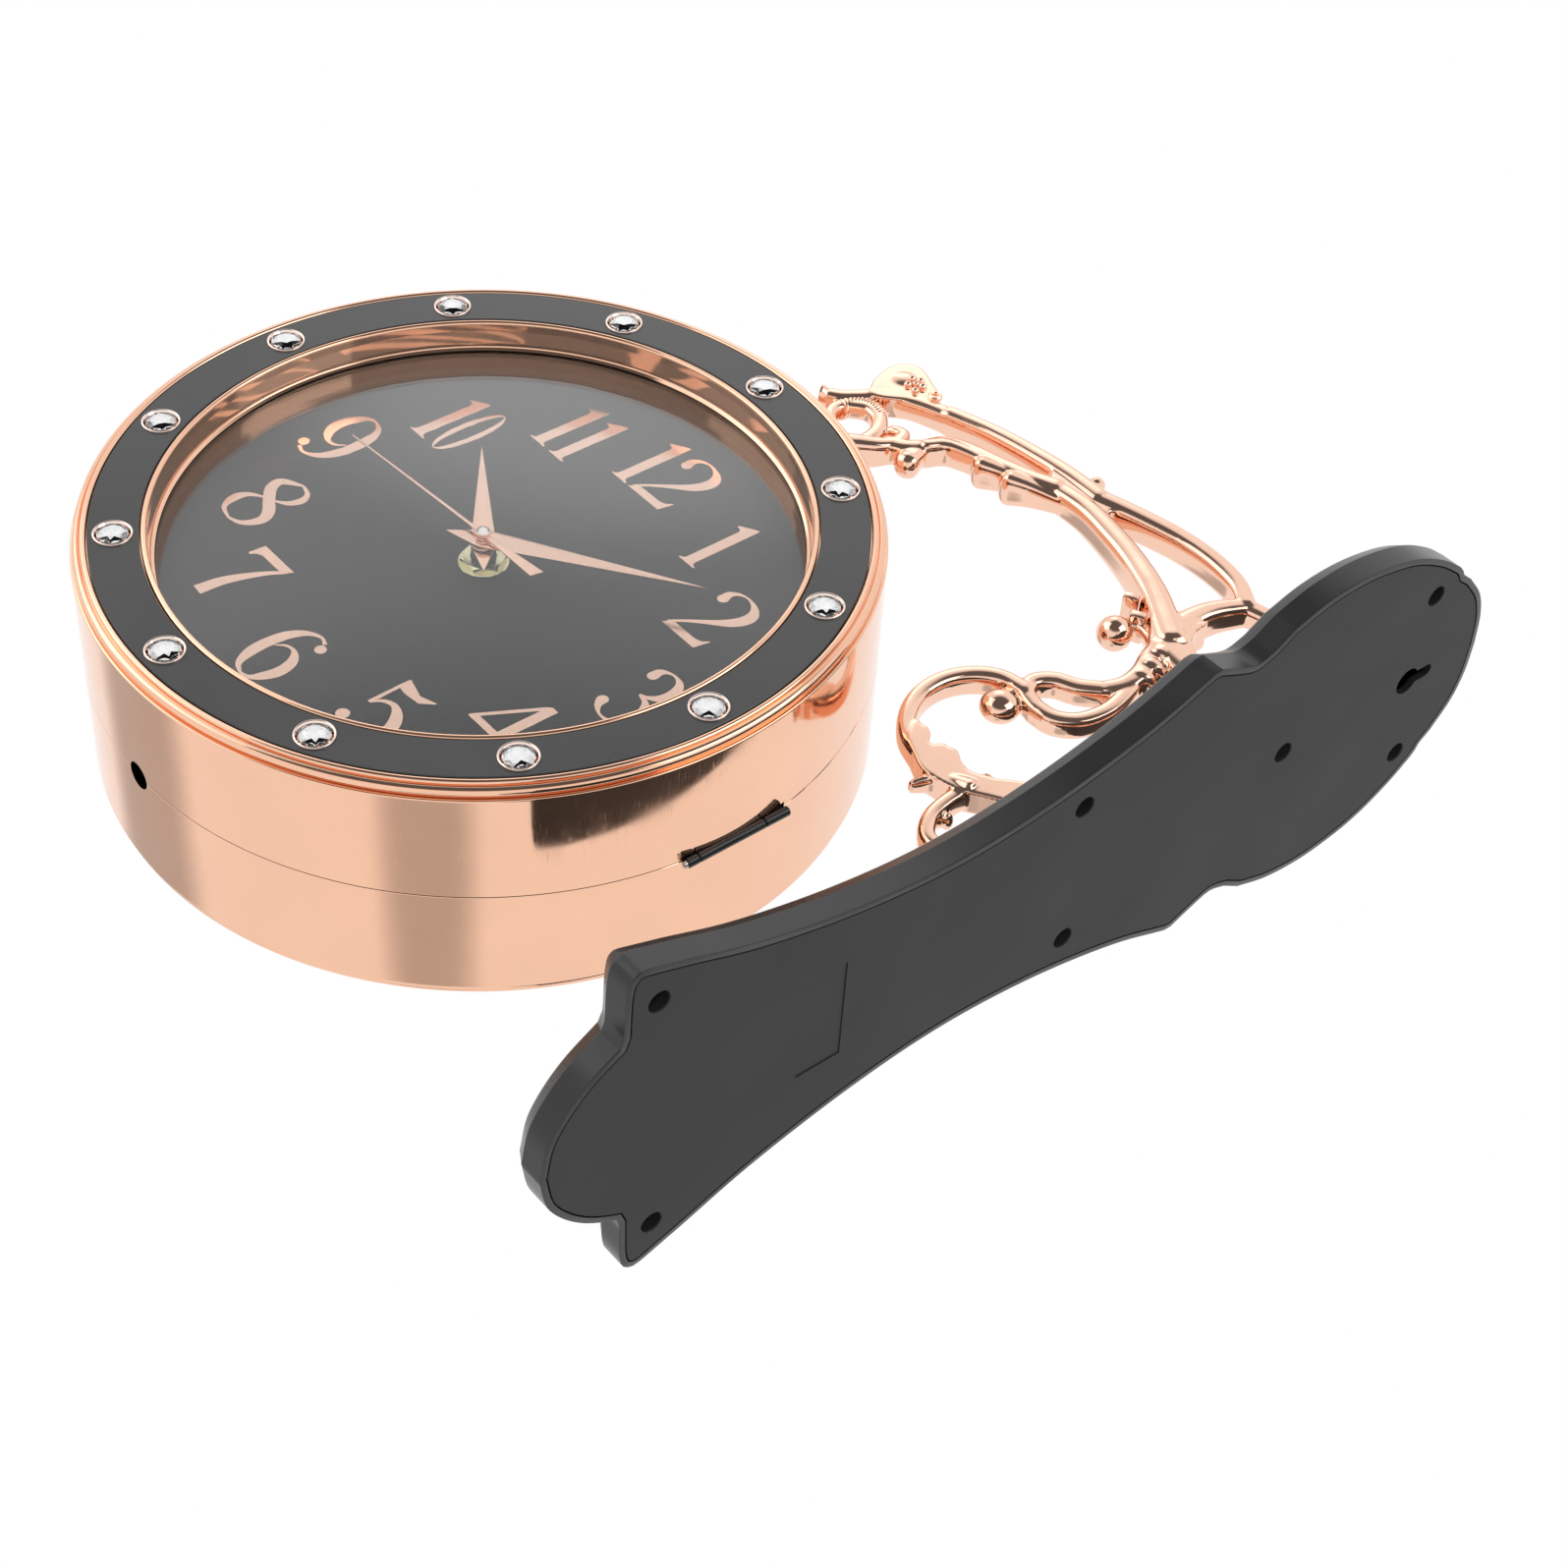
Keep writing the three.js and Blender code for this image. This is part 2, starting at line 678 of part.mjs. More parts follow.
function screw(place, head, shank, tip) {
  const seat = cupDepth - gap;
  return join([
    upright(head, seat - screwHeadHeight, seat, place),
    upright(shank, seat - screwHeadHeight / 2, tip, place),
  ]);
}

// ---------------------------------------------------------------- bracket arm
// The casting lies in the plane x = 0. Each bar is a list of [y, z] points with its end radii, and is
// this many times as deep along X as it is wide.
const footTop = drumRadius + gap;
const bars = {
  topRail: {
    from: 3.6,
    to: 4.2,
    deep: 1.4,
    path: [[-54, 199], [-63, 204.2], [-75, 206.6], [-90, 206.4], [-106, 203.4], [-122, 199]],
  },
  upperSweep: {
    from: 4.2,
    to: 3.6,
    deep: 1.45,
    path: [[-122, 199], [-137, 199.4], [-154, 198], [-172, 195], [-188, 190.4]],
  },
  upperTip: {
    from: 3.6,
    to: 3,
    deep: 1.3,
    path: [[-188, 190.4], [-201, 185.4], [-210, 179.4], [-215, 172], [-218.5, 167.4], [-222, 164.8]],
  },
  mainSweep: {
    from: 5.6,
    to: 4,
    deep: 1.3,
    path: [[-55, 166], [-64, 171.5], [-76, 178.4], [-92, 185], [-108, 189.5], [-122, 192], [-135, 191.6]],
  },
  lowerSweep: {
    from: 4,
    to: 3.2,
    deep: 1.4,
    path: [[-135, 191.6], [-146, 187.4], [-158, 184.6], [-170, 182], [-177, 178.4], [-180, 171]],
  },
  branch: {
    from: 5,
    to: 3.6,
    deep: 1.3,
    path: [[-58, 168], [-59.4, 178], [-58.4, 188], [-54, 199]],
  },
  spineHead: {
    from: 3.6,
    to: 3.4,
    deep: 1.2,
    path: [[-54, 199], [-42, 201], [-30, 196.6], [-spineReach, spineTop]],
  },
  spine: {
    from: 3.4,
    to: 3.4,
    deep: 1.1,
    path: [[-spineReach, spineTop], [-spineReach, (spineTop + pegHeight) / 2], [-spineReach, pegHeight]],
  },
  knotBar: {
    from: 5.6,
    to: 5,
    deep: 1.1,
    path: [[-55, 162], [-38, 160], [-spineReach, bracketScrewHeight]],
  },
  stem: {
    from: 5.2,
    to: 3.4,
    deep: 1.2,
    path: [[-55, 168], [-54, 157], [-50.4, 148], [-49.6, 140], [-52.4, 133]],
  },
  eyeUpper: {
    from: 3.4,
    to: 3.2,
    deep: 1.25,
    path: [[-52.4, 133], [-58, 127.6], [-64.6, 124], [-68, 118], [-65.4, 112.6], [-59, 110.6]],
  },
  eyeLower: {
    from: 3.2,
    to: 3.2,
    deep: 1.25,
    path: [[-59, 110.6], [-52, 111.6], [-46.4, 117], [-44.4, 127], [-46.4, 137], [-50, 145]],
  },
  scroll: {
    from: 3.4,
    to: 3.6,
    deep: 1.3,
    path: [[-66, 113], [-75, 111], [-81.4, 105], [-85, 96], [-84.4, 86], [-80, 77], [-73, 71], [-64, 68.4]],
  },
  leafStem: {
    from: 3.8,
    to: 3.4,
    deep: 1.3,
    path: [[-65, 68.4], [-58, 72], [-50, 76], [-42, 79.4], [-31, 82], [-spineReach, pegHeight]],
  },
  lowLeaf: {
    from: 1.4,
    to: 2.8,
    deep: 1.4,
    path: [[-57, 59], [-55.6, 64], [-52, 68.6], [-46, 73]],
  },
  tail: {
    from: 3,
    to: 2.8,
    deep: 1.3,
    path: [[-43, 79], [-44.6, 70], [-44.4, 60], [-41.6, 51], [-35.4, 45.4], [-28, 46], [-25, 51]],
  },
  ballNeck: {
    from: 2.6,
    to: 2,
    deep: 1.2,
    path: [[-58, 161.4], [-63, 164.4], [-68.7, 165.3], [-72.4, 162.6]],
  },
  crestNeck: {
    from: 2.6,
    to: 2,
    deep: 1,
    path: [[-122, 199], [-127, 202], [-130.7, 205.4]],
  },
  hangerCurl: {
    from: 4.2,
    to: 2.2,
    deep: 1.5,
    path: [[-drumReach, 150], [-192.4, 154], [-188.4, 159], [-186.4, 165], [-189, 170.4], [-193.4, 169.4]],
  },
  ropeHook: {
    from: 3,
    to: 3,
    deep: 1.1,
    path: [[-214, 167], [-208, 171.4], [-201, 170], [-196, 164.4], [-194.4, 157]],
  },
  curlBridge: {
    from: 3.6,
    to: 3.4,
    deep: 1.3,
    path: [[-188, 162], [-183, 165.4], [-179.6, 170]],
  },
};
const balls = [
  { at: [-71.4, 157.1], radius: 6.3 },      // ball on the short curl
  { at: [-67.5, 104.4], radius: 6.4 },      // ball at the head of the scroll
  { at: [-130.7, 206.4], radius: 3.3 },     // ball on the crest
  { at: [-177.6, 165], radius: 4.8 },       // bud at the end of the lower sweep
  { at: [-211, 189], radius: 7.4 },         // domed bud near the tip
  { at: [-222.4, 164.4], radius: 4 },       // flared tip
  { at: [-149.6, 185], radius: 4.7 },       // three lobes under the lower sweep
  { at: [-161, 182.8], radius: 4.7 },
  { at: [-173, 180.2], radius: 4.7 },
  { at: [-25.4, 52], radius: 4 },           // ball in the lowest curl
];
const collars = [[-54.8, 161.4], [-53, 154.4]];

// an oval bar swept along its path, tapering from one end radius to the other, with pointed ends
function bar({ path, from, to, deep }) {
  const spots = path.map(([y, z]) => new THREE.Vector3(0, y, z));
  const curve = new THREE.CatmullRomCurve3(spots, false, 'centripetal');
  const steps = Math.max(3, Math.round(curve.getLength() / barStep));
  const points = [];
  for (let i = 0; i <= steps; i += 1) {
    const along = curve.getTangentAt(i / steps);
    const across = new THREE.Vector3(0, -along.z, along.y);
    const radius = from + ((to - from) * i) / steps;
    for (let k = 0; k < barSides; k += 1) {
      const angle = (2 * Math.PI * (k + 0.5)) / barSides;
      const spot = curve.getPointAt(i / steps).addScaledVector(across, radius * Math.cos(angle));
      points.push(deep * radius * Math.sin(angle), spot.y, spot.z);
    }
  }
  const start = curve.getPointAt(0).addScaledVector(curve.getTangentAt(0), -from * capShare);
  const end = curve.getPointAt(1).addScaledVector(curve.getTangentAt(1), to * capShare);
  points.push(...start.toArray(), ...end.toArray());
  const first = (steps + 1) * barSides;
  const triangles = [];
  for (let k = 0; k < barSides; k += 1) {
    const next = (k + 1) % barSides;
    for (let i = 0; i < steps; i += 1) {
      const [a, b] = [i * barSides + k, i * barSides + next];
      triangles.push(a, b, b + barSides, a, b + barSides, a + barSides);
    }
    triangles.push(first, next, k);
    triangles.push(first + 1, steps * barSides + k, steps * barSides + next);
  }
  const geometry = new THREE.BufferGeometry();
  geometry.setAttribute('position', new THREE.Float32BufferAttribute(points, 3));
  geometry.setIndex(triangles);
  return geometry;
}

// the turned post on the drum as [radius, rise] above its foot: flange, waist and collar
const postProfile = [[8, 0], [8, 2], [5, 5], [4, 12], [5.6, 19], [5.6, 21], [4.4, 24]];

function hangerPost() {
  const turnedPart = postProfile.map(([radius, rise]) => [radius, footTop + rise]);
  const [neck] = postProfile.at(-1);
  const profile = [[0, footTop], ...turnedPart, [neck, hangerTop], [0, hangerTop]];
  const points = profile.map(([radius, height]) => new THREE.Vector2(radius, height));
  return new THREE.LatheGeometry(points, footSides).rotateX(Math.PI / 2).translate(0, -drumReach, 0);
}

function collar([y, z]) {
  const { radius, height, tilt } = collarSize;
  const band = new THREE.CylinderGeometry(radius, radius, height, smallSides);
  return band.rotateX(Math.PI / 2 + tilt).translate(0, y, z);
}

const ball = ({ at, radius }) => new THREE.SphereGeometry(radius, smallSides, 5).translate(0, ...at);

function bracketArm() {
  const seat = plateDepth + gap;
  const footEnd = spineReach + footSink;
  const spigotFoot = drumRadius - spigotDepth;
  const casting = join([
    ...Object.values(bars).map(bar),
    ...balls.map(ball),
    ...collars.map(collar),
    upright(footRadius, seat, footEnd, bracketPlace, footSides),
    upright(pegFootRadius, seat, footEnd, pegPlace, footSides),
    upright(pegRadius, plateDepth - pegReach, seat + past, pegPlace),
    hangerPost(),
    rod('z', spigotRadius, spigotFoot, footTop + past, [0, -drumReach, 0], roundSides),
  ]);
  return cut(casting, [
    upright(bracketShank + gap, plateDepth - past, plateDepth + bracketScrewBite + past, bracketPlace),
    rod('z', hangerShank + gap, spigotFoot - past, footTop + hangerBite, [0, -drumReach, 0]),
  ]);
}

function hangerScrew() {
  const seat = padTop - padThickness - gap;
  return join([
    rod('z', hangerNutAcross / Math.sqrt(3), seat - hangerNutHeight, seat, centre, 6),
    rod('z', hangerShank, seat - hangerNutHeight / 2, footTop + hangerBite - past),
  ]);
}

// ---------------------------------------------------------------- assembly
const clock = new THREE.Group();
const drum = new THREE.Group();
drum.position.set(0, -drumReach, 0);

function dialSide(side) {
  const group = new THREE.Group();
  group.add(
    piece(`${side}_face_ring`, faceRing(), ringBlack),
    piece(`${side}_lens`, lens(), clear),
    piece(`${side}_dial`, dialPan(), dialBlack),
    piece(`${side}_movement`, movement(), movementBlack),
    piece(`${side}_battery`, battery(), batteryGreen),
    piece(`${side}_set_knob`, setKnob(), movementBlack),
    piece(`${side}_dial_nut`, dialNut(), brass),
    piece(`${side}_hour_hand`, hourHand(), handRose),
    piece(`${side}_minute_hand`, minuteHand(), handRose),
    piece(`${side}_second_hand`, secondHand(), handRose),
  );
  for (let k = 0; k < crystalCount; k += 1) {
    const hour = k === 0 ? crystalCount : k;
    const [across, up] = clockPoint(crystalCircle, (360 * k) / crystalCount);
    const stone = piece(`${side}_crystal_${String(hour).padStart(2, '0')}`, crystal(), crystalClear);
    stone.position.set(0, across, up);
    group.add(stone);
  }
  return group;
}

const frontSide = dialSide('front');
const rearSide = dialSide('rear');
rearSide.rotation.z = Math.PI;

drum.add(
  frontSide,
  rearSide,
  piece('front_shell', frontShell(), roseGold),
  piece('rear_shell', rearShell(), roseGold),
  piece('hinge_front_leaf', frontLeaf(), blackPlastic),
  piece('hinge_rear_leaf', rearLeaf(), blackPlastic),
  piece('hinge_pin', hingePinSolid(), steel),
  piece('hanger_screw', hangerScrew(), steel),
);

const bracketScrew = screw(bracketPlace, screwHole - gap, bracketShank, plateDepth + bracketScrewBite);

clock.add(
  drum,
  piece('bracket_arm', bracketArm(), roseGold),
  piece('plate_cover', plateCover(), blackPlastic),
  piece('plate_back_panel', platePanel(), blackPlastic),
  piece('bracket_screw', bracketScrew, steel),
);
screwPlaces.forEach((place, k) => {
  clock.add(piece(`plate_screw_${k + 1}`, screw(place, screwHead, screwShank, innerFace), steel));
});

export default clock;
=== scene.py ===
"""A double sided station clock in rose gold and black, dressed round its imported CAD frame.

Lengths in this file are millimetres in the frame's own axes: the wall is y = 0, the clock stands
out towards -Y, +Z is up at 12 o'clock and the front dial faces +X. Meshes are scaled to metres.
"""
import math

import bmesh
import bpy
from mathutils import Matrix, Vector, geometry

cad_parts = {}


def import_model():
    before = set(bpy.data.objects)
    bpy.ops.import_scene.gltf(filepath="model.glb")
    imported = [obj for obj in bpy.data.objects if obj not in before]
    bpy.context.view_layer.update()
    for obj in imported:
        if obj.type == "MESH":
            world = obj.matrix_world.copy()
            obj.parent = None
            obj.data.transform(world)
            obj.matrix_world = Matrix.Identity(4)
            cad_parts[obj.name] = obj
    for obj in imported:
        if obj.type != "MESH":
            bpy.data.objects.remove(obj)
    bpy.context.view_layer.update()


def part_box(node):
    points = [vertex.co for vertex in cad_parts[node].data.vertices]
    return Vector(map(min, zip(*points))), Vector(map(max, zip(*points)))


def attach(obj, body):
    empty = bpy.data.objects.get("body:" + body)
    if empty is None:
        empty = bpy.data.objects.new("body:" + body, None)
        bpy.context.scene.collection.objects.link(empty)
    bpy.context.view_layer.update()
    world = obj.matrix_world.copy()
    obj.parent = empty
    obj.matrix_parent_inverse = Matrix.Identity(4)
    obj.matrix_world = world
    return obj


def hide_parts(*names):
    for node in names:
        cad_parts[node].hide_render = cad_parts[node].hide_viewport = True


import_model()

MM = 0.001


def millimetres(node):
    low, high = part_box(node)
    return low / MM, high / MM


# ---------------------------------------------------------------- sizes, from the frame and by name
dial_low, dial_high = millimetres("front_dial")

REACH = -(dial_low.y + dial_high.y) / 2       # wall to the drum's axis
RADIUS = millimetres("front_shell")[1].z      # side wall of the drum
GAP = 0.3                                     # clearance between neighbours
SEAM = 0.15                                   # half of the seam between the two drum halves
SEAM_CHAMFER = 0.12
FACE = 42.0                                   # mid-plane to the face of the black ring
RING_OUTER = RADIUS - 5.5
RING_INNER = RING_OUTER - 15.5
RING_THICKNESS = 2.2
RING_SEAT = FACE - RING_THICKNESS - GAP
WALL = 2.6
LIP = 1.0                                     # rolled lips on both sides of the black ring
LIP_RISE = 0.2
BEAD = 1.6                                    # rolled bead round the rim
BEAD_INSET = 0.8
BEAD_DROP = 2.6
BORE = RING_INNER - GAP - 2 * LIP             # opening through which the dial is seen
BORE_STEP = FACE - 10
PAN = BORE + 2.4                              # dial pan and lens
SLEEVE = PAN + GAP + 2                        # outside of the sleeve round the dial pan
DIAL_FACE = FACE - 21
PAN_BACK = DIAL_FACE - 1.2
LENS_FRONT = BORE_STEP - GAP
LENS_THICKNESS = 1.8
LENS_RISE = 5.5
SEAM_HOLE = 4.6
ROUND = 192                  # segments of the drum's lathed pieces
SMALL_ROUND = 32                              # segments of screws, pins and other small pieces
SMOOTH = 32                                   # edges sharper than this many degrees stay creased
ON_AXIS = 1e-6


# ---------------------------------------------------------------- mesh helpers
def shade(mesh, angle=SMOOTH):
    mesh.shade_smooth()
    mesh.set_sharp_from_angle(angle=math.radians(angle))


def put(name, data):
    """A new object of the scene that shows a mesh, a lamp or a camera."""
    made = bpy.data.objects.new(name, data)
    bpy.context.scene.collection.objects.link(made)
    return made


def new_object(name, verts, faces, angle=SMOOTH):
    mesh = bpy.data.meshes.new(name)
    mesh.from_pydata([Vector(v) * MM for v in verts], [], faces)
    clean(mesh)
    shade(mesh, angle)
    return put(name, mesh)


def clean(mesh):
    """Merges doubled points and turns every face outwards."""
    bm = bmesh.new()
    bm.from_mesh(mesh)
    bmesh.ops.remove_doubles(bm, verts=bm.verts, dist=1e-6)
    bmesh.ops.dissolve_degenerate(bm, edges=bm.edges, dist=1e-7)
    bmesh.ops.recalc_face_normals(bm, faces=bm.faces)
    bm.to_mesh(mesh)
    bm.free()


def settle(piece, angle=SMOOTH):
    """Replaces a piece's mesh by what its modifiers make of it."""
    bpy.context.view_layer.update()
    evaluated = piece.evaluated_get(bpy.context.evaluated_depsgraph_get())
    mesh = bpy.data.meshes.new_from_object(evaluated)
    piece.modifiers.clear()
    old = piece.data
    piece.data = mesh
    mesh.name = piece.name
    bpy.data.meshes.remove(old)
    shade(mesh, angle)
    return piece


def combine(piece, others, how="DIFFERENCE", angle=SMOOTH):
    """Cuts the others out of a piece, or joins or intersects them with it."""
    for other in others:
        modifier = piece.modifiers.new(how, "BOOLEAN")
        modifier.operation = how
        modifier.object = other
        modifier.solver = "EXACT"
    settle(piece, angle)
    for other in others:
        bpy.data.objects.remove(other)
    return piece


def join(name, pieces, angle=SMOOTH):
    """One object that holds the meshes of several, each kept as it is."""
    bm = bmesh.new()
    for piece in pieces:
        bm.from_mesh(piece.data)
    mesh = bpy.data.meshes.new(name)
    bm.to_mesh(mesh)
    bm.free()
    shade(mesh, angle)
    for piece in pieces:
        bpy.data.objects.remove(piece)
    return put(name, mesh)


def moved(piece, matrix):
    """Applies a matrix, in millimetres, to a piece's mesh."""
    matrix = matrix.copy()
    matrix.translation = matrix.translation * MM
    piece.data.transform(matrix)
    if matrix.determinant() < 0:
        piece.data.flip_normals()
    return piece


def shift(x=0, y=0, z=0):
    return Matrix.Translation((x, y, z))


def turn(axis, degrees):
    return Matrix.Rotation(math.radians(degrees), 4, axis)


def copy_of(piece, name):
    mesh = piece.data.copy()
    mesh.name = name
    return put(name, mesh)


AXES = {                                      # where a lathe's point goes, at the turn's cosine and sine
    "x": lambda radius, height, c, s: (height, radius * c, radius * s),
    "y": lambda radius, height, c, s: (radius * c, height, radius * s),
    "z": lambda radius, height, c, s: (radius * c, radius * s, height),
}


BRACE = 0.12                                  # support points this far from the ends of flat spans
BRACED_SPAN = 1.2                             # spans longer than this get them


def braced(profile):
    """The closed profile with support points in its long spans, so that they shade flat."""
    result = []
    for k, start in enumerate(profile):
        start, end = Vector(start), Vector(profile[(k + 1) % len(profile)])
        result.append(tuple(start))
        span = (end - start).length
        if span > BRACED_SPAN and (start.x > ON_AXIS or end.x > ON_AXIS):
            result.append(tuple(start.lerp(end, BRACE / span)))
            result.append(tuple(end.lerp(start, BRACE / span)))
    return result


def lathe(name, profile, segments=ROUND, axis="x", at=(0, 0, 0), angle=SMOOTH):
    """A closed profile of [radius, height] points turned round an axis through a point."""
    profile = braced(profile)
    place = AXES[axis]
    verts = []
    for k in range(segments):
        turned = 2 * math.pi * (k + 0.5) / segments
        for radius, height in profile:
            spot = place(radius, height, math.cos(turned), math.sin(turned))
            verts.append([spot[i] + at[i] for i in range(3)])
    count = len(profile)
    faces = []
    for k in range(segments):
        here, there = k * count, ((k + 1) % segments) * count
        for i in range(count):
            j = (i + 1) % count
            if profile[i][0] > ON_AXIS or profile[j][0] > ON_AXIS:
                faces.append((here + i, here + j, there + j, there + i))
    return new_object(name, verts, faces, angle)


def rod(name, axis, radius, low, high, at=(0, 0, 0), segments=SMALL_ROUND, bevel=0.0):
    """A cylinder between two stations along an axis, with bevelled rims."""
    profile = [
        (0, low), (radius - bevel, low), (radius, low + bevel),
        (radius, high - bevel), (radius - bevel, high), (0, high),
    ]
    if bevel == 0:
        profile = [(0, low), (radius, low), (radius, high), (0, high)]
    return lathe(name, profile, segments, axis, at)


def block(name, xs, ys, zs, bevel=0.0):
    corners = [(x, y, z) for x in xs for y in ys for z in zs]
    faces = [(0, 1, 3, 2), (4, 6, 7, 5), (0, 4, 5, 1), (2, 3, 7, 6), (0, 2, 6, 4), (1, 5, 7, 3)]
    piece = new_object(name, corners, faces)
    return rounded(piece, bevel, 2) if bevel else piece


def rounded(piece, width, segments=2, angle=40):
    modifier = piece.modifiers.new("bevel", "BEVEL")
    modifier.width = width * MM
    modifier.segments = segments
    modifier.limit_method = "ANGLE"
    modifier.angle_limit = math.radians(angle)
    return settle(piece)


def skin(name, loops, angle=SMOOTH):
    """A closed skin over loops that have as many points each, capped at both ends."""
    count = len(loops[0])
    last = (len(loops) - 1) * count
    faces = [tuple(range(count)), tuple(range(last + count - 1, last - 1, -1))]
    faces += [
        (low + k, low + (k + 1) % count, low + count + (k + 1) % count, low + count + k)
        for low in range(0, last, count) for k in range(count)
    ]
    return new_object(name, [spot for loop in loops for spot in loop], faces, angle)


def prism(name, outline, low, high, axis="x"):
    """A flat outline of [across, up] points between two stations along X or Y."""
    if axis == "x":
        return skin(name, [[(height, a, b) for a, b in outline] for height in (low, high)])
    return skin(name, [[(a, height, b) for a, b in outline] for height in (low, high)])


def arc(middle, height, radius, start, stop, steps):
    """[radius, height] points round a centre; 0 degrees is outwards and 90 is up."""
    angles = [math.radians(start + (stop - start) * k / steps) for k in range(steps + 1)]
    return [(middle + radius * math.cos(a), height + radius * math.sin(a)) for a in angles]


def circle(radius, sides, at=(0, 0)):
    angles = [2 * math.pi * k / sides for k in range(sides)]
    return [(at[0] + radius * math.cos(a), at[1] + radius * math.sin(a)) for a in angles]


def thread(start, stop, pitch, crest, root):
    """A lathe's profile points along a thread; a negative pitch runs down."""
    points = []
    height = start
    while (stop - height) * pitch > 0:
        points += [(crest, height), (root, height + pitch / 2)]
        height += pitch
    return points


def spline(points, step, closed=False):
    """A smooth Catmull-Rom line through points of any dimension, in pieces about step long."""
    points = [Vector(p) for p in points]
    count = len(points)
    spans = count if closed else count - 1
    result = []
    for i in range(spans):
        if closed:
            p0, p1, p2, p3 = (points[(i + k - 1) % count] for k in range(4))
        else:
            p1, p2 = points[i], points[i + 1]
            p0 = points[i - 1] if i else 2 * p1 - p2
            p3 = points[i + 2] if i + 2 < count else 2 * p2 - p1
        d1, d2, d3 = (max((b - a).length, 1e-6) ** 0.5 for a, b in ((p0, p1), (p1, p2), (p2, p3)))
        m1 = ((p1 - p0) / d1 - (p2 - p0) / (d1 + d2) + (p2 - p1) / d2) * d2
        m2 = ((p2 - p1) / d2 - (p3 - p1) / (d2 + d3) + (p3 - p2) / d3) * d2
        steps = max(1, round((p2 - p1).length / step))
        for k in range(steps):
            t = k / steps
            result.append(
                p1 * (2 * t ** 3 - 3 * t ** 2 + 1) + m1 * (t ** 3 - 2 * t ** 2 + t)
                + p2 * (3 * t ** 2 - 2 * t ** 3) + m2 * (t ** 3 - t ** 2)
            )
    if not closed:
        result.append(points[-1])
    return result


# ---------------------------------------------------------------- materials
class Nodes:
    """The node tree of a material or a world, built up a node at a time."""

    def __init__(self, owner):
        owner.use_nodes = True
        self.nodes = owner.node_tree.nodes
        self.links = owner.node_tree.links

    def node(self, kind, inputs=(), **properties):
        """A node with its sockets set to values or linked to other nodes' outputs."""
        made = self.nodes.new("ShaderNode" + kind)
        for key, value in properties.items():
            setattr(made, key, value)
        for key, value in dict(inputs).items():
            if isinstance(value, bpy.types.NodeSocket):
                self.links.new(value, made.inputs[key])
            else:
                made.inputs[key].default_value = value
        return made

    def span(self, value, low, high, out_low, out_high, **properties):
        inputs = {"Value": value, "From Min": low, "From Max": high, "To Min": out_low, "To Max": out_high}
        return self.node("MapRange", inputs, **properties).outputs["Result"]

    def maths(self, how, a, b):
        return self.node("Math", {0: a, 1: b}, operation=how).outputs[0]

    def blend(self, factor, first, second):
        return self.node("MixShader", {0: factor, 1: first, 2: second}).outputs[0]


class Paint(Nodes):
    """A material round its Principled BSDF, with patterns in the object's own coordinates."""

    def __init__(self, name, **values):
        self.material = bpy.data.materials.new(name)
        super().__init__(self.material)
        self.shader = self.nodes["Principled BSDF"]
        for key, value in values.items():
            self.shader.inputs[key.replace("_", " ")].default_value = value
        self.place = self.node("TexCoord").outputs["Object"]

    def noise(self, scale, detail, roughness=0.5, stretch=None, distortion=0.0):
        place = self.place
        if stretch:
            place = self.node("Mapping", {"Vector": place, "Scale": stretch}).outputs[0]
        inputs = {"Vector": place, "Scale": scale, "Detail": detail, "Roughness": roughness}
        return self.node("TexNoise", {**inputs, "Distortion": distortion}).outputs["Fac"]

    def ramp(self, value, low, dark, high, light):
        """From a dark colour, up to the low value, to a light one."""
        made = self.node("ValToRGB", {"Fac": value})
        for element, position, colour in zip(made.color_ramp.elements, (low, high), (dark, light)):
            element.position = position
            element.color = (*colour[:3], 1)
        return made.outputs["Color"]

    def set(self, socket, value):
        self.links.new(value, self.shader.inputs[socket])

    def show(self, shader):
        self.links.new(shader, self.nodes["Material Output"].inputs["Surface"])

    def bump(self, height, strength, distance, normal=None):
        inputs = {"Height": height, "Strength": strength, "Distance": distance}
        if normal is not None:
            inputs["Normal"] = normal
        return self.node("Bump", inputs).outputs[0]


def grey(value):
    return (value, value, value, 1)


def darker(colour, share):
    return [channel * share for channel in colour]


def polished_rose(name, colour, gloss, waves, wave_height, scratches):
    """Plated metal: soft waves from polishing, faint hairlines and a little haze."""
    paint = Paint(name, Metallic=1.0)
    cloud = paint.noise(38, 4)
    paint.set("Base Color", paint.ramp(cloud, 0.3, darker(colour, 0.955), 0.72, colour))
    haze = paint.noise(90, 5, 0.6)
    lines = paint.noise(160, 3, 0.6, stretch=(1.0, 14.0, 14.0), distortion=0.4)
    hair = paint.span(lines, 0.58, 0.72, 0.0, scratches)
    soft = paint.span(haze, 0.35, 0.75, gloss, gloss + 0.07)
    paint.set("Roughness", paint.maths("ADD", soft, hair))
    wide = paint.bump(paint.noise(waves, 1), 0.35, wave_height)
    fine = paint.bump(haze, 0.05, 0.00004, wide)
    paint.set("Normal", paint.bump(lines, 0.03, 0.00003, fine))
    return paint.material


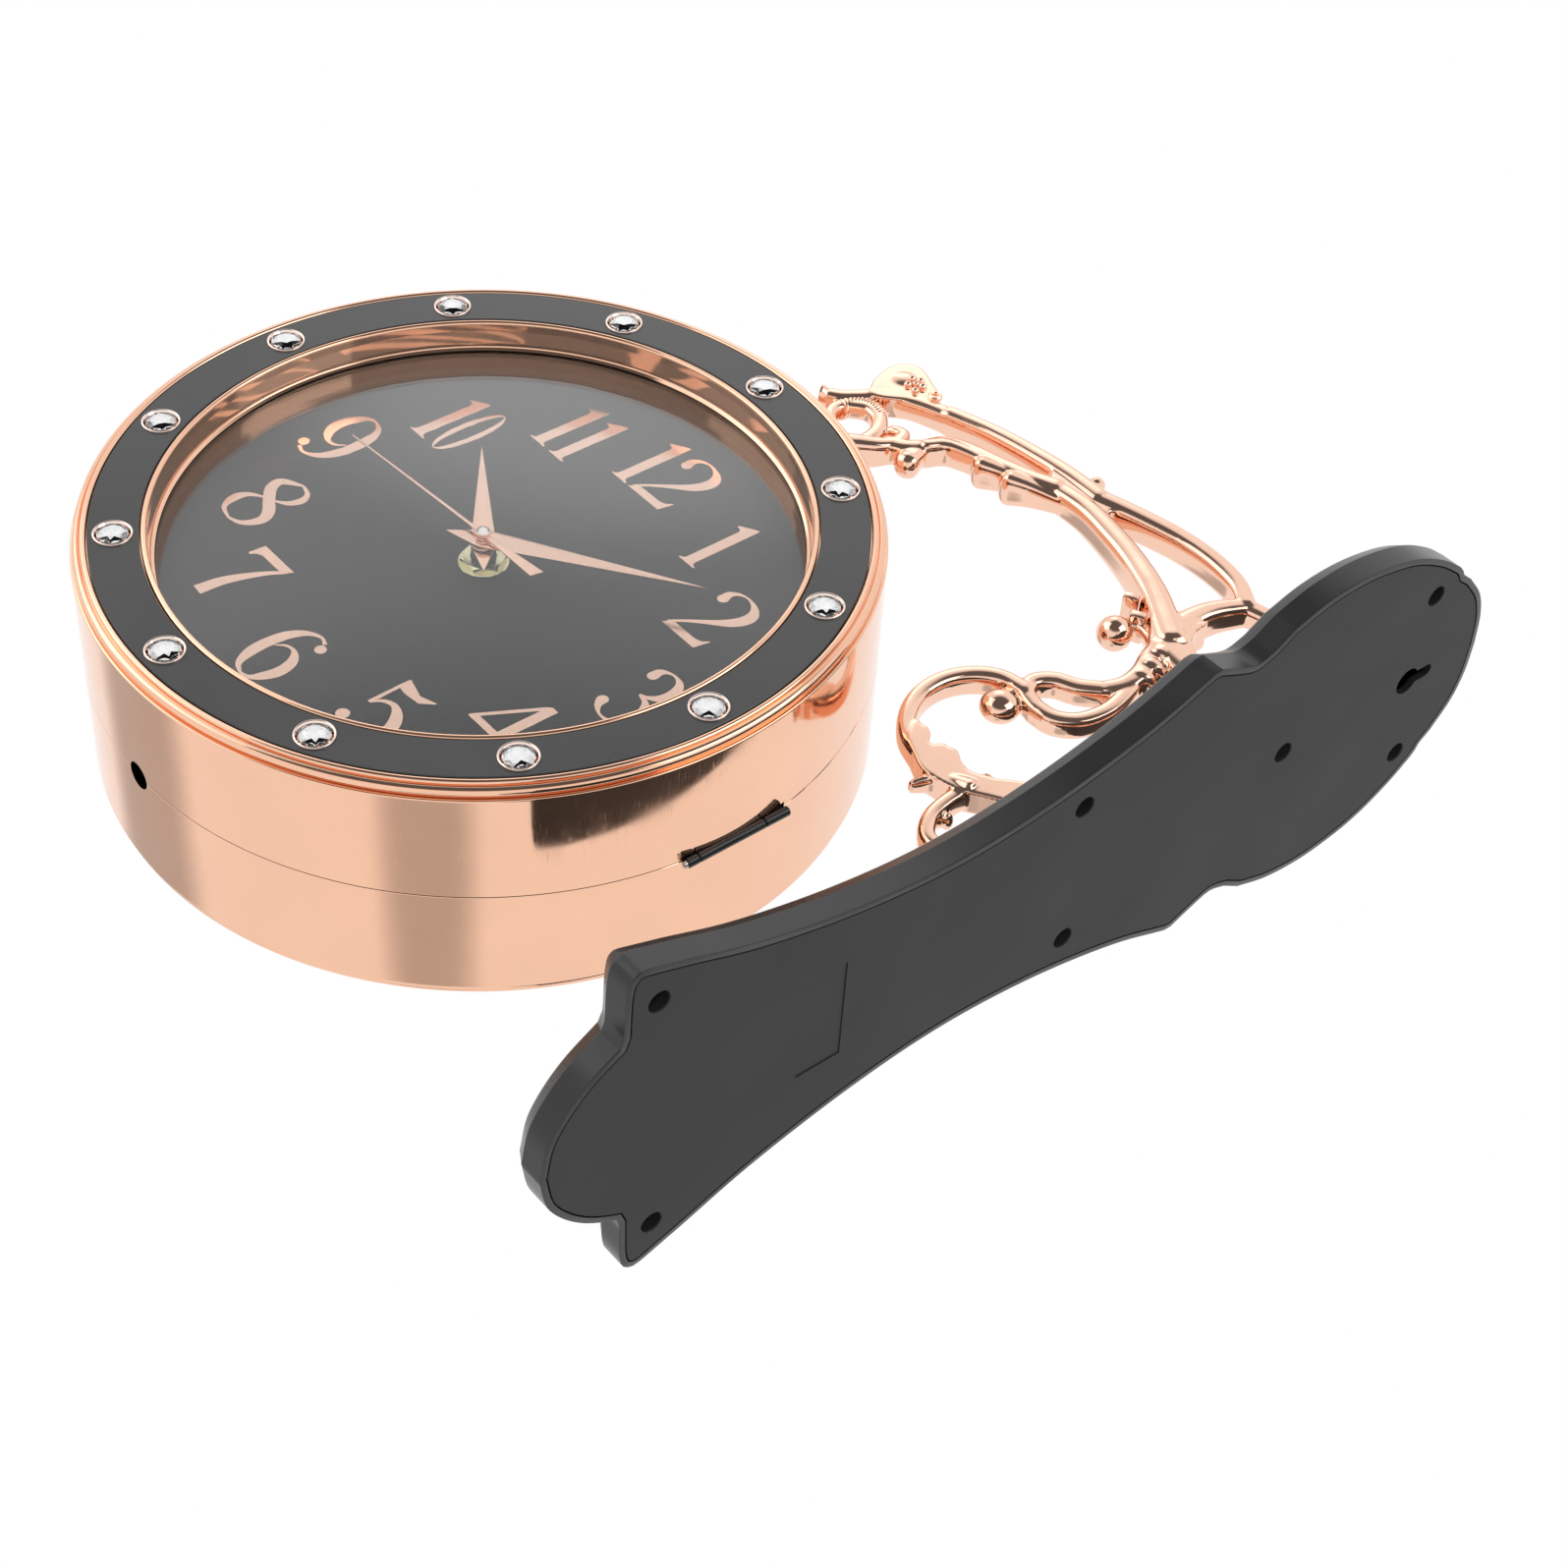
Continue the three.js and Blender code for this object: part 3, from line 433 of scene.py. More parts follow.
def satin_black(name, value, gloss, grain, depth, specular=0.5):
    """Moulded black plastic with a fine grain, faint dust and slightly rubbed patches."""
    paint = Paint(name, IOR=1.5, Specular_IOR_Level=specular)
    dust = paint.noise(260, 6, 0.65)
    cloud = paint.noise(22, 3)
    base = paint.ramp(cloud, 0.3, grey(value * 0.86), 0.7, grey(value * 1.12))
    dusted = {"Factor": paint.span(dust, 0.66, 0.8, 0.0, 0.12), "A": base, "B": grey(value * 4)}
    paint.set("Base Color", paint.node("Mix", dusted, data_type="RGBA").outputs["Result"])
    paint.set("Roughness", paint.span(cloud, 0.3, 0.7, gloss - 0.04, gloss + 0.05))
    pores = paint.noise(grain, 2)
    paint.set("Normal", paint.bump(pores, 0.18, depth))
    return paint.material


def lens_material():
    """Clear moulded polystyrene with a faint haze that lets the studio light through to the dial."""
    paint = Paint(
        "lens_glass", Base_Color=(0.97, 0.975, 0.98, 1), IOR=1.49, Transmission_Weight=1.0,
        Coat_Weight=0.3, Coat_Roughness=0.25,
    )
    smear = paint.noise(30, 4, 0.6)
    paint.set("Roughness", paint.span(smear, 0.45, 0.8, 0.0, 0.05))
    shadow = paint.node("LightPath").outputs["Is Shadow Ray"]
    clear = paint.node("BsdfTransparent", {"Color": (0.93, 0.935, 0.94, 1)})
    paint.show(paint.blend(shadow, paint.shader.outputs[0], clear.outputs[0]))
    return paint.material


def crystal_material():
    paint = Paint("crystal_glass", Roughness=0.0, IOR=1.62, Transmission_Weight=1.0)
    paint.set("Base Color", paint.ramp(paint.noise(400, 1), 0.3, grey(0.97), 0.7, grey(1.0)))
    return paint.material


def foil_material():
    """The silvered back of a cut stone."""
    paint = Paint("crystal_foil", Metallic=1.0, Roughness=0.04)
    paint.set("Base Color", paint.ramp(paint.noise(500, 2), 0.3, grey(0.86), 0.7, grey(0.98)))
    return paint.material


def satin_rose(name, colour, gloss):
    """Stamped rose gold foil with a bright face."""
    paint = Paint(name, Metallic=1.0)
    grain = paint.noise(420, 4, 0.6)
    paint.set("Base Color", paint.ramp(grain, 0.3, darker(colour, 0.94), 0.75, colour))
    paint.set("Roughness", paint.span(grain, 0.3, 0.7, gloss - 0.04, gloss + 0.06))
    paint.set("Normal", paint.bump(grain, 0.06, 0.00003))
    return paint.material


def turned_metal(name, colour, gloss):
    """Steel or brass with fine tool marks and slight staining."""
    paint = Paint(name, Metallic=1.0)
    marks = paint.noise(900, 3, 0.6, stretch=(4.0, 1.0, 1.0))
    stain = paint.noise(120, 4)
    paint.set("Base Color", paint.ramp(stain, 0.3, darker(colour, 0.82), 0.7, colour))
    paint.set("Roughness", paint.span(marks, 0.3, 0.7, gloss - 0.05, gloss + 0.08))
    paint.set("Normal", paint.bump(marks, 0.1, 0.00004))
    return paint.material


LOOKS = {                                     # how each material is made, and from what
    "rose_gold_shell": (polished_rose, (0.93, 0.56, 0.39), 0.05, 9, 0.0022, 0.10),
    "rose_gold_metal": (polished_rose, (0.956, 0.62, 0.47), 0.06, 60, 0.0006, 0.04),
    "black_plastic": (satin_black, 0.020, 0.27, 1500, 0.00004, 0.45),
    "black_panel": (satin_black, 0.020, 0.50, 1700, 0.00007, 0.3),
    "black_hinge": (satin_black, 0.02, 0.36, 900, 0.00005),
    "ring_black": (satin_black, 0.042, 0.30, 1300, 0.00003),
    "dial_black": (satin_black, 0.014, 0.50, 1900, 0.00003, 0.35),
    "bezel_metal": (polished_rose, (0.95, 0.78, 0.70), 0.06, 60, 0.0004, 0.04),
    "hand_rose": (satin_rose, (0.93, 0.62, 0.48), 0.14),
    "nut_brass": (turned_metal, (0.84, 0.78, 0.52), 0.22),
    "cap_silver": (turned_metal, (0.95, 0.90, 0.87), 0.12),
    "movement_plastic": (satin_black, 0.02, 0.5, 1200, 0.00006),
    "battery_wrap": (turned_metal, (0.16, 0.20, 0.17), 0.34),
    "screw_steel": (turned_metal, (0.55, 0.55, 0.56), 0.28),
}
MATERIALS = {name: make(name, *values) for name, (make, *values) in LOOKS.items()}
MATERIALS.update(lens_glass=lens_material(), crystal_glass=crystal_material(), crystal_foil=foil_material())


def dress(piece, slot, body, node, material=None):
    """Gives a piece its material, hangs it on the empty of the body that carries it and hides the CAD node it
    stands for.
    """
    piece.data.materials.clear()
    piece.data.materials.append(MATERIALS[material or slot])
    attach(piece, body)
    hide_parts(node)


# where each dial side stands: the rear side is the front one turned half round the drum's axis
SIDES = {
    "front": shift(y=-REACH),
    "rear": shift(y=-REACH) @ turn("Z", 180),
}
BODIES = {"front": "front_case", "rear": "root"}


def place_sides(piece, slot, node, body=None, material=None):
    """Puts a piece drawn in the drum's frame on both dial sides, on the case or on a body of its own."""
    base = piece.name
    for side, matrix in SIDES.items():
        twin = moved(copy_of(piece, f"{side}_{base}"), matrix)
        rides = BODIES[side] if body is None else f"{side}_{body}"
        dress(twin, slot, rides, f"{side}_{node}", material)
    bpy.data.objects.remove(piece)


# ---------------------------------------------------------------- casing of the drum
LIP_HEIGHT = FACE + LIP_RISE - LIP
OUTER_LIP = RING_OUTER + GAP + LIP
INNER_LIP = RING_INNER - GAP - LIP
SHELL_INNER = RADIUS - WALL
BEAD_CIRCLE = RADIUS - BEAD_INSET - BEAD
SHELF = FACE - 4.2                            # narrow step under the bead


def shell_profile():
    return [
        (RADIUS - SEAM_CHAMFER, SEAM), (RADIUS, SEAM + SEAM_CHAMFER),
        (RADIUS, SHELF - 0.5), *arc(RADIUS - 0.5, SHELF - 0.5, 0.5, 15, 90, 4),
        (BEAD_CIRCLE + 0.55, SHELF),
        *arc(BEAD_CIRCLE, FACE - BEAD_DROP, BEAD, -64, 98, 14),
        (BEAD_CIRCLE - 0.6, FACE - 1.5), (OUTER_LIP + 1.02, FACE - 1.5),
        *arc(OUTER_LIP, LIP_HEIGHT, LIP, -14, 180, 12),
        (RING_OUTER + GAP, RING_SEAT), (RING_INNER - GAP, RING_SEAT),
        *arc(INNER_LIP, LIP_HEIGHT, LIP, 0, 180, 12),
        (BORE, FACE - 3.2), (BORE - 0.35, BORE_STEP + 2.2),
        *arc(BORE - 1.15, BORE_STEP + 1.15, 0.8, 20, -70, 5),
        (BORE - 1.5, BORE_STEP), (PAN + GAP, BORE_STEP), (PAN + GAP, PAN_BACK),
        (SLEEVE, PAN_BACK), (SLEEVE, RING_SEAT - WALL),
        (SHELL_INNER, RING_SEAT - WALL), (SHELL_INNER, SEAM),
    ]


HINGE_LOW, HINGE_HIGH = (corner.z for corner in millimetres("hinge_rear_leaf"))
BARREL = 1.6
HINGE_PIN = 0.7
HINGE_RADIUS = RADIUS + 0.4                   # drum's axis to the pin
LEAF_INNER = SHELL_INNER - 3.8
LEAF_THICKNESS = 1.0
SLOT_HALF = BARREL + 0.08
TONGUE_HALF = 9
TONGUE_OUTER = SHELL_INNER - 2 * GAP - 0.47
TONGUE_INNER = TONGUE_OUTER - 1.8
PAD_HALF = 10
PAD_TOP = RADIUS - 7 - GAP
PAD_FOOT = PAD_TOP - 4
STUD = 2.0                                    # thread that holds the drum to its post
SHELL_CREASE = 28
REAR_HALF = Matrix.Diagonal((-1, 1, 1, 1))


def shell_half(name):
    half = lathe(name, shell_profile(), angle=SHELL_CREASE)
    cutters = [
        rod("seam_hole", "z", SEAM_HOLE, -RADIUS - 1, RADIUS + 1, segments=40),
        block("hinge_slot", (-SLOT_HALF, SLOT_HALF), (LEAF_INNER, RADIUS + 1),
              (HINGE_LOW - GAP, HINGE_HIGH + GAP)),
    ]
    return combine(half, cutters, angle=SHELL_CREASE)


def front_shell():
    """The front half, with the tongue that snaps into the rear one."""
    across = (-TONGUE_HALF, TONGUE_HALF)
    root = block("tongue_root", (2, 12), (-SHELL_INNER - WALL / 2, -TONGUE_INNER), across)
    tongue = block("tongue", (-6, 12.4), (-TONGUE_OUTER, -TONGUE_INNER + 0.01), across, bevel=0.5)
    shell = combine(shell_half("front_shell_skin"), [root, tongue], "UNION", SHELL_CREASE)
    dress(moved(shell, SIDES["front"]), "rose_gold_shell", "front_case", "front_shell")


def rear_shell():
    """The rear half, with the pad that the hanger stud goes through."""
    shell = moved(shell_half("rear_shell_skin"), REAR_HALF)
    across = (-PAD_HALF, PAD_HALF)
    pad = block("pad", (-18, 8), across, (PAD_FOOT, PAD_TOP), bevel=0.6)
    rib = block("rib", (-18, -6), across, (PAD_FOOT + 0.5, SHELL_INNER + WALL / 2))
    combine(shell, [pad, rib], "UNION", SHELL_CREASE)
    combine(shell, [rod("bore", "z", STUD + GAP, PAD_FOOT - 1, PAD_TOP + 1)], angle=SHELL_CREASE)
    dress(moved(shell, SIDES["front"]), "rose_gold_shell", "root", "rear_shell")


# ---------------------------------------------------------------- black ring and its cut stones
CRYSTALS = 12
CRYSTAL_CIRCLE = (RING_INNER + RING_OUTER) / 2
CRYSTAL = 4.8                                 # girdle of a stone
BEZEL_INNER = 4.9
BEZEL_SEAT = BEZEL_INNER + 1                  # hole in the ring
BEZEL_MOUTH = 5.6
BEZEL_OUTER = 6.2
BEZEL_RISE = 0.6
CUT = 8                                       # sides of a stone's table
FACET = 1                                     # every facet of a stone keeps its edges


def hour_places():
    angles = [2 * math.pi * k / CRYSTALS for k in range(CRYSTALS)]
    return [(CRYSTAL_CIRCLE * math.sin(angle), CRYSTAL_CIRCLE * math.cos(angle)) for angle in angles]


def face_ring():
    bevel = 0.25
    low = FACE - RING_THICKNESS
    ring = lathe("ring", [
        (RING_OUTER, low), (RING_OUTER, FACE - bevel), (RING_OUTER - bevel, FACE),
        (RING_INNER + bevel, FACE), (RING_INNER, FACE - bevel), (RING_INNER, low),
    ])
    return combine(ring, [rod("seat", "x", BEZEL_SEAT, 0, FACE + 1, (0, *place)) for place in hour_places()])


def bezels():
    """Thin turned collars that hold the stones, each with a sloping inner wall."""
    low = FACE - RING_THICKNESS
    top = FACE + BEZEL_RISE
    profile = [
        (BEZEL_INNER, low), (BEZEL_SEAT - 0.05, low), (BEZEL_SEAT - 0.05, FACE + 0.03),
        (BEZEL_OUTER, FACE + 0.03), *arc(BEZEL_OUTER - 0.3, top - 0.3, 0.3, 0, 140, 5),
        (BEZEL_MOUTH, top - 0.12), (BEZEL_INNER, FACE - 0.5),
    ]
    return join("bezels", [lathe("bezel", profile, 40, at=(0, *place)) for place in hour_places()])


def facets(name, rings, faces, tip=()):
    """A stone's half from rings of [radius, height, sides, offset in sides]."""
    verts = []
    for radius, height, sides, offset in rings:
        angles = [2 * math.pi * (k + offset) / sides for k in range(sides)]
        verts += [(height, radius * math.cos(a), radius * math.sin(a)) for a in angles]
    return new_object(name, [*verts, *tip], faces, FACET)


def stone_crown():
    """The clear half of a brilliant: table, eight kites, star and girdle facets."""
    girdle = FACE + 0.1
    rings = [
        (CRYSTAL * 0.56, FACE + 1.15, CUT, 0), (CRYSTAL * 0.80, girdle + 0.66, CUT, 0.5),
        (CRYSTAL, girdle + 0.12, 2 * CUT, 0.5), (CRYSTAL, girdle, 2 * CUT, 0.5),
    ]
    kite, rim, base = CUT, 2 * CUT, 4 * CUT
    faces = [tuple(range(CUT))]
    for k in range(CUT):
        point = rim + 2 * k
        faces += [
            (k, (k + 1) % CUT, kite + k), (k, kite + k, point, kite + (k - 1) % CUT),
            (kite + k, point + 1, point), (kite + k, rim + (2 * k + 2) % (2 * CUT), point + 1),
        ]
    for k in range(2 * CUT):
        n = (k + 1) % (2 * CUT)
        faces.append((rim + k, rim + n, base + n, base + k))
    faces.append(tuple(base + k for k in range(2 * CUT - 1, -1, -1)))
    return facets("stone_crown", rings, faces)


def stone_foil():
    """The silvered half: a shallow faceted cone seen through the crown."""
    low = FACE - RING_THICKNESS + 0.05
    rings = [(CRYSTAL, FACE + 0.04, 2 * CUT, 0.5), (CRYSTAL * 0.52, low + 0.75, CUT, 0.5)]
    inner, tip = 2 * CUT, 3 * CUT
    faces = []
    for k in range(CUT):
        n = inner + (k + 1) % CUT
        faces += [
            (2 * k, 2 * k + 1, inner + k), (2 * k + 1, (2 * k + 2) % inner, n, inner + k),
            (inner + k, n, tip),
        ]
    return facets("stone_foil", rings, faces, [(low, 0, 0)])


def stones():
    """Twelve stones a side, each turned a little further than the last."""
    crown, foil = stone_crown(), stone_foil()
    for side, matrix in SIDES.items():
        for k, (across, up) in enumerate(hour_places()):
            hour = f"{k if k else CRYSTALS:02d}"
            place = matrix @ shift(0, across, up) @ turn("X", 17.0 * k)
            clear = moved(copy_of(crown, f"{side}_stone_{hour}"), place)
            silver = moved(copy_of(foil, f"{side}_stone_foil_{hour}"), place)
            node = f"{side}_crystal_{hour}"
            dress(clear, "crystal_glass", BODIES[side], node)
            dress(silver, "crystal_glass", BODIES[side], node, material="crystal_foil")
    bpy.data.objects.remove(crown)
    bpy.data.objects.remove(foil)


# ---------------------------------------------------------------- lens and dial
def lens():
    dome = BORE - 1.5
    steps = 26
    shares = [1 - k / steps for k in range(steps + 1)]
    crown = [(dome * share, LENS_FRONT + LENS_RISE * (1 - share ** 2)) for share in shares]
    under = [(radius, height - LENS_THICKNESS) for radius, height in reversed(crown)]
    flange = [(PAN, LENS_FRONT - LENS_THICKNESS), (PAN, LENS_FRONT)]
    return lathe("lens_dome", [*flange, *crown, *under], angle=20)


BUSH = 3.9                                    # threaded neck of a movement
BUSH_BORE = 3.0
BUSH_TOP = DIAL_FACE + 6.6
PIPE_FOOT = BUSH_TOP - 9                      # the hands' pipes reach this deep into the bush
CORNER = 1.5                                  # round between the dial and its rim


def dial():
    rim_top = LENS_FRONT - LENS_THICKNESS - GAP
    hole = BUSH + GAP
    inside = PAN - 1.2
    return lathe("dial_pan", [
        (hole, PAN_BACK), (PAN, PAN_BACK), (PAN, rim_top - 0.2), (PAN - 0.2, rim_top),
        (inside + 0.2, rim_top), (inside, rim_top - 0.2),
        *arc(inside - CORNER, DIAL_FACE + CORNER, CORNER, 0, -90, 6), (hole, DIAL_FACE),
    ])


# Each digit stands on its baseline at z = 0 with its left edge at 0. A stroke is a list of
# [across, up, width] points, a ball is [across, up, radius], shapes and holes are outlines and an
# oval is its centre and the half width and height of its outside and its opening.
DIGITS = {
    "0": {"width": 9.4, "oval": (4.7, 14.3, 4.7, 14.4, 2.5, 13.9)},
    "1": {"width": 7.2, "shapes": [
        [(0, 0), (7.4, 0), (7.4, 0.7), (6.2, 0.9), (5.6, 1.8), (5.6, 28.6), (4.6, 28.3),
         (-0.9, 25.0), (-0.7, 24.2), (0.4, 24.2), (1.2, 23.8), (1.6, 22.8), (1.6, 1.8),
         (1.1, 0.9), (0, 0.7)],
    ]},
    "2": {"width": 16.7, "strokes": [
        [(2.95, 22.2, 3.4), (2.4, 24.3, 2.9), (3.8, 26.8, 1.5), (6.3, 28, 0.85), (8.9, 28, 1),
         (12.7, 26.4, 2.5), (14.9, 23.5, 4.1), (15, 20.5, 4.2), (13.5, 16.7, 3.7),
         (10.5, 12.9, 2.5), (7.2, 9.3, 1.7), (3.8, 5.3, 1.2), (1, 1.4, 1)],
    ], "balls": [(2.8, 21.9, 1.9)], "shapes": [
        [(0, 0), (15.6, 0), (16.7, 5.9), (16.3, 5.8), (14.9, 3.9), (12.4, 3.1), (3.2, 3.1),
         (1.3, 1.6)],
    ]},
    "3": {"width": 15.3, "strokes": [
        [(2, 24, 3.5), (1.9, 26.2, 2.9), (3.4, 28.1, 1.4), (6.1, 28.9, 0.9), (9.9, 27.6, 2.5),
         (12.2, 23.2, 3.9), (11.3, 19, 2.9), (8.6, 16.3, 1.4), (6.3, 15.4, 0.9)],
        [(6.3, 15.4, 0.9), (9.9, 14.6, 1.9), (13.2, 11.4, 3.9), (14.4, 7.2, 4.2),
         (12.9, 3.4, 3.2), (9.5, 0.8, 1.4), (6.1, 0.6, 0.9), (2.9, 2.5, 2.2), (1.5, 5.1, 3.8)],
    ], "balls": [(1.9, 23.7, 1.8), (1.6, 5.2, 1.9)]},
    "4": {"width": 18, "shapes": [
        [(12.4, 28.5), (14.9, 28.5), (14.9, 0), (11.2, 0), (11.2, 6.6), (0, 6.6), (0, 7.4),
         (11.0, 27.2)],
        [(11, 6.6), (18, 6.6), (18, 9.1), (11, 9.1)],
    ], "holes": [
        [(11.2, 9.1), (11.2, 24.6), (2.5, 9.1)],
    ]},
    "5": {"width": 16.6, "strokes": [
        [(2.5, 13.6, 0.8), (4.6, 16.7, 1.4), (8, 18.1, 2), (12.6, 15.9, 3.7), (16, 10.8, 4.4),
         (14.3, 5.3, 3.7), (9.3, 0.7, 1.4), (4.6, 1.4, 1.6), (2.1, 4, 3.2)],
        [(1.9, 28, 1.2), (2.1, 20, 1.3), (2.4, 13.1, 1.5)],
    ], "balls": [(2.1, 4.1, 2.2)], "shapes": [
        [(1.5, 28.6), (9.3, 26.6), (15, 28.7), (14.8, 27.9), (11.4, 24.3), (5.9, 23.5), (2.6, 23.9)],
    ]},
    "6": {"width": 16, "strokes": [
        [(13.2, 27.6, 1.5), (9.9, 28.6, 1.0), (5.7, 26.3, 2.2), (2.9, 21.3, 3.7),
         (2.0, 14.5, 4.1), (2.7, 7.8, 3.9), (5.2, 2.3, 2.0), (9, 0.5, 0.9)],
        [(4.4, 15.4, 0.5), (6.5, 17.9, 1.0), (9.5, 18.7, 1.4), (13.7, 15.8, 3.4),
         (15.4, 10.3, 4.1), (14.3, 5.2, 3.5), (12, 1.4, 1.7), (9, 0.5, 0.9)],
    ], "balls": [(14.2, 25.3, 1.9)]},
    "7": {"width": 17, "strokes": [
        [(15.6, 27, 1.2), (12.4, 22, 1.9), (9.5, 15.6, 2.9), (7.2, 8.4, 3.9), (6.4, 0, 4.6)],
    ], "shapes": [
        [(0.4, 28.5), (16.9, 28.5), (14.3, 25.1), (4, 25.1), (1.9, 24), (1, 22.4), (0, 22.4)],
    ]},
    "8": {"width": 15.6, "strokes": [
        [(9.3, 28.4, 0.9), (3.2, 23.6, 3.4), (4.2, 19.8, 3.9), (9.3, 15.6, 3.9),
         (14.8, 11.8, 4.1), (16.5, 8, 3.7), (13.9, 2.5, 2.0), (9.3, 0.6, 0.9)],
        [(9.3, 0.6, 0.9), (3.8, 2.5, 1.7), (1.7, 8, 3.4), (2.8, 11.8, 2.2), (6.3, 14.8, 1.0),
         (11, 17.1, 1.0), (14.3, 19.8, 2.2), (15.6, 23.6, 2.9), (13.9, 27, 1.7), (9.3, 28.4, 0.9)],
    ]},
}
NUMERAL_RISE = 0.22
NUMERAL_HEIGHT = 28.5
DIGIT_SPACE = {"12": 1.6, "11": 3.0, "10": 1.4}
NUMERALS = {                                  # text, and its centre from the dial's centre
    "12": (-1.1, 74.4), "1": (36.7, 65.3), "2": (63.2, 41.7), "3": (79.3, 0.3),
    "4": (64.4, -37.0), "5": (39.6, -63.7), "6": (-0.6, -74.6), "7": (-38.1, -64.5),
    "8": (-66.7, -38.5), "9": (-79.0, -0.3), "10": (-62.6, 35.2), "11": (-36.4, 64.6),
}


def stroke_outline(points):
    """The two edges of a stroke that swells and thins along a smooth line."""
    line = spline(points, 0.7)
    left, right = [], []
    for k, (x, z, width) in enumerate(line):
        ahead = line[min(k + 1, len(line) - 1)] - line[max(k - 1, 0)]
        across = Vector((-ahead.y, ahead.x)).normalized() * width / 2
        left.append((x + across.x, z + across.y))
        right.append((x - across.x, z - across.y))
    return left + right[::-1]


def digit(name):
    shape = DIGITS[name]
    low, high = DIAL_FACE - 0.4, DIAL_FACE + NUMERAL_RISE
    outlines = [stroke_outline(points) for points in shape.get("strokes", [])]
    outlines += shape.get("shapes", [])
    outlines += [circle(radius, 24, (x, z)) for x, z, radius in shape.get("balls", [])]
    openings = shape.get("holes", [])
    if "oval" in shape:
        x, z, wide, tall, thin, short = shape["oval"]
        outlines = [[(x + a * wide, z + b * tall) for a, b in circle(1, 64)]]
        openings = [[(x + a * thin, z + b * short) for a, b in circle(1, 64)]]
    whole, *parts = [prism("part", outline, low, high) for outline in outlines]
    if parts:
        combine(whole, parts, "UNION")
    if openings:
        combine(whole, [prism("hole", outline, low - 1, high + 1) for outline in openings])
    return rounded(whole, 0.08, 1, 60)


def numerals():
    """Raised upright numerals; the rear of each stands in the dial's face."""
    made = {name: digit(name) for name in DIGITS}
    made["9"] = moved(copy_of(made["6"], "nine"), shift(0, 16, NUMERAL_HEIGHT) @ turn("X", 180))
    widths = {name: shape["width"] for name, shape in DIGITS.items()}
    widths["9"] = widths["6"]
    pieces = []
    for text, (across, up) in NUMERALS.items():
        space = DIGIT_SPACE.get(text, 0)
        total = sum(widths[c] for c in text) + space * (len(text) - 1)
        left = across - total / 2
        for character in text:
            twin = copy_of(made[character], "numeral")
            pieces.append(moved(twin, shift(0, left, up - NUMERAL_HEIGHT / 2)))
            left += widths[character] + space
    for part in made.values():
        bpy.data.objects.remove(part)
    return join("numerals", pieces)


# ---------------------------------------------------------------- nut and hands
HEX = 13 / math.sqrt(3)                       # corner radius of the 13 mm nut
NUT_LOW = DIAL_FACE + GAP
NUT_FLANGE_TOP = NUT_LOW + 0.7
NUT_TOP = NUT_LOW + 2.6
FLANGE = 8.1
HAND_THICKNESS = 0.6
HUB = 1.2                                     # width of a hand's boss round its pipe
HANDS = {       # height of the blade, angle past 12 o'clock, radii of pipe and bore, [across, up] outline
    "hour": (28.2, 304.6, 2.7, 1.9, [(0, 50.5), (-4, 0), (-3.6, -2), (0, -14), (3.6, -2), (4, 0)]),
    "minute": (30.1, 55.4, 1.6, 0.9, [(0, 73), (-4.2, 0), (-3.8, -2), (0, -12.5), (3.8, -2), (4.2, 0)]),
    "second": (32.0, 266.0, 0.6, 0.0, [(-0.3, 66), (-0.65, 3), (-0.75, -2), (-2.2, -25.2), (2.2, -26.4),
                                       (0.75, -2), (0.65, 3), (0.3, 66)]),
}


def hex_nut(name, corner, low, high, bore):
    """A hexagon whose corners are turned down to a cone, over its bore."""
    body = prism(name, circle(corner, 6), low, high)
    cone = corner * 0.87
    limit = lathe("limit", [
        (0, low - 1), (corner + 1, low - 1), (corner + 1, high - (corner + 1 - cone) * 0.45),
        (cone, high), (0, high),
    ], 48)
    combine(body, [limit], "INTERSECT", 25)
    combine(body, [rod("bore", "x", bore, low - 1, high + 1)], angle=25)
    return rounded(body, 0.12, 1, 25)


def dial_nut():
    hole = BUSH + GAP
    flange = lathe("flange", [
        (hole, NUT_LOW), (FLANGE, NUT_LOW), (FLANGE, NUT_FLANGE_TOP - 0.2), (FLANGE - 0.2, NUT_FLANGE_TOP),
        (hole, NUT_FLANGE_TOP),
    ], 64)
    return join("nut", [hex_nut("hexagon", HEX, NUT_FLANGE_TOP, NUT_TOP, hole), flange], 25)


def hand(name):
    """A pressed blade with soft edges, its hub and the pipe that carries it."""
    station, degrees, pipe, bore, outline = HANDS[name]
    top = station + HAND_THICKNESS
    boss = pipe + HUB
    blade = rounded(prism(f"{name}_blade", outline, station, top), 0.16, 2, 30)
    stem = lathe("stem", [
        (bore, PIPE_FOOT), (pipe, PIPE_FOOT), (pipe, station - 0.1), (boss - 0.15, station - 0.1),
        (boss, station + 0.05), (boss, top + 0.05), (boss - 0.15, top + 0.2),
        (pipe, top + 0.2), (pipe, top + 0.4), (bore, top + 0.4),
    ], SMALL_ROUND)
    if bore:
        combine(blade, [rod("bore", "x", bore, PIPE_FOOT, top + 1)])
    return moved(combine(blade, [stem], "UNION"), turn("X", -degrees))


def cap():
    """Domed silver cap of the second hand."""
    low = HANDS["second"][0] + HAND_THICKNESS
    return lathe("cap", [
        (0, low), (2.1, low), (2.1, low + 0.9), *arc(0.0, low - 0.1, 2.25, 32, 90, 8)[:-1],
        (0, low + 2.15),
    ], SMALL_ROUND)


def cap_ring():
    """Rose ring round the foot of the cap."""
    low = HANDS["second"][0]
    return lathe("cap_ring", [
        (1.4, low + 0.55), (2.4, low + 0.55), *arc(2.2, low + 1.3, 0.28, -30, 110, 5), (1.4, low + 1.5),
    ], SMALL_ROUND)


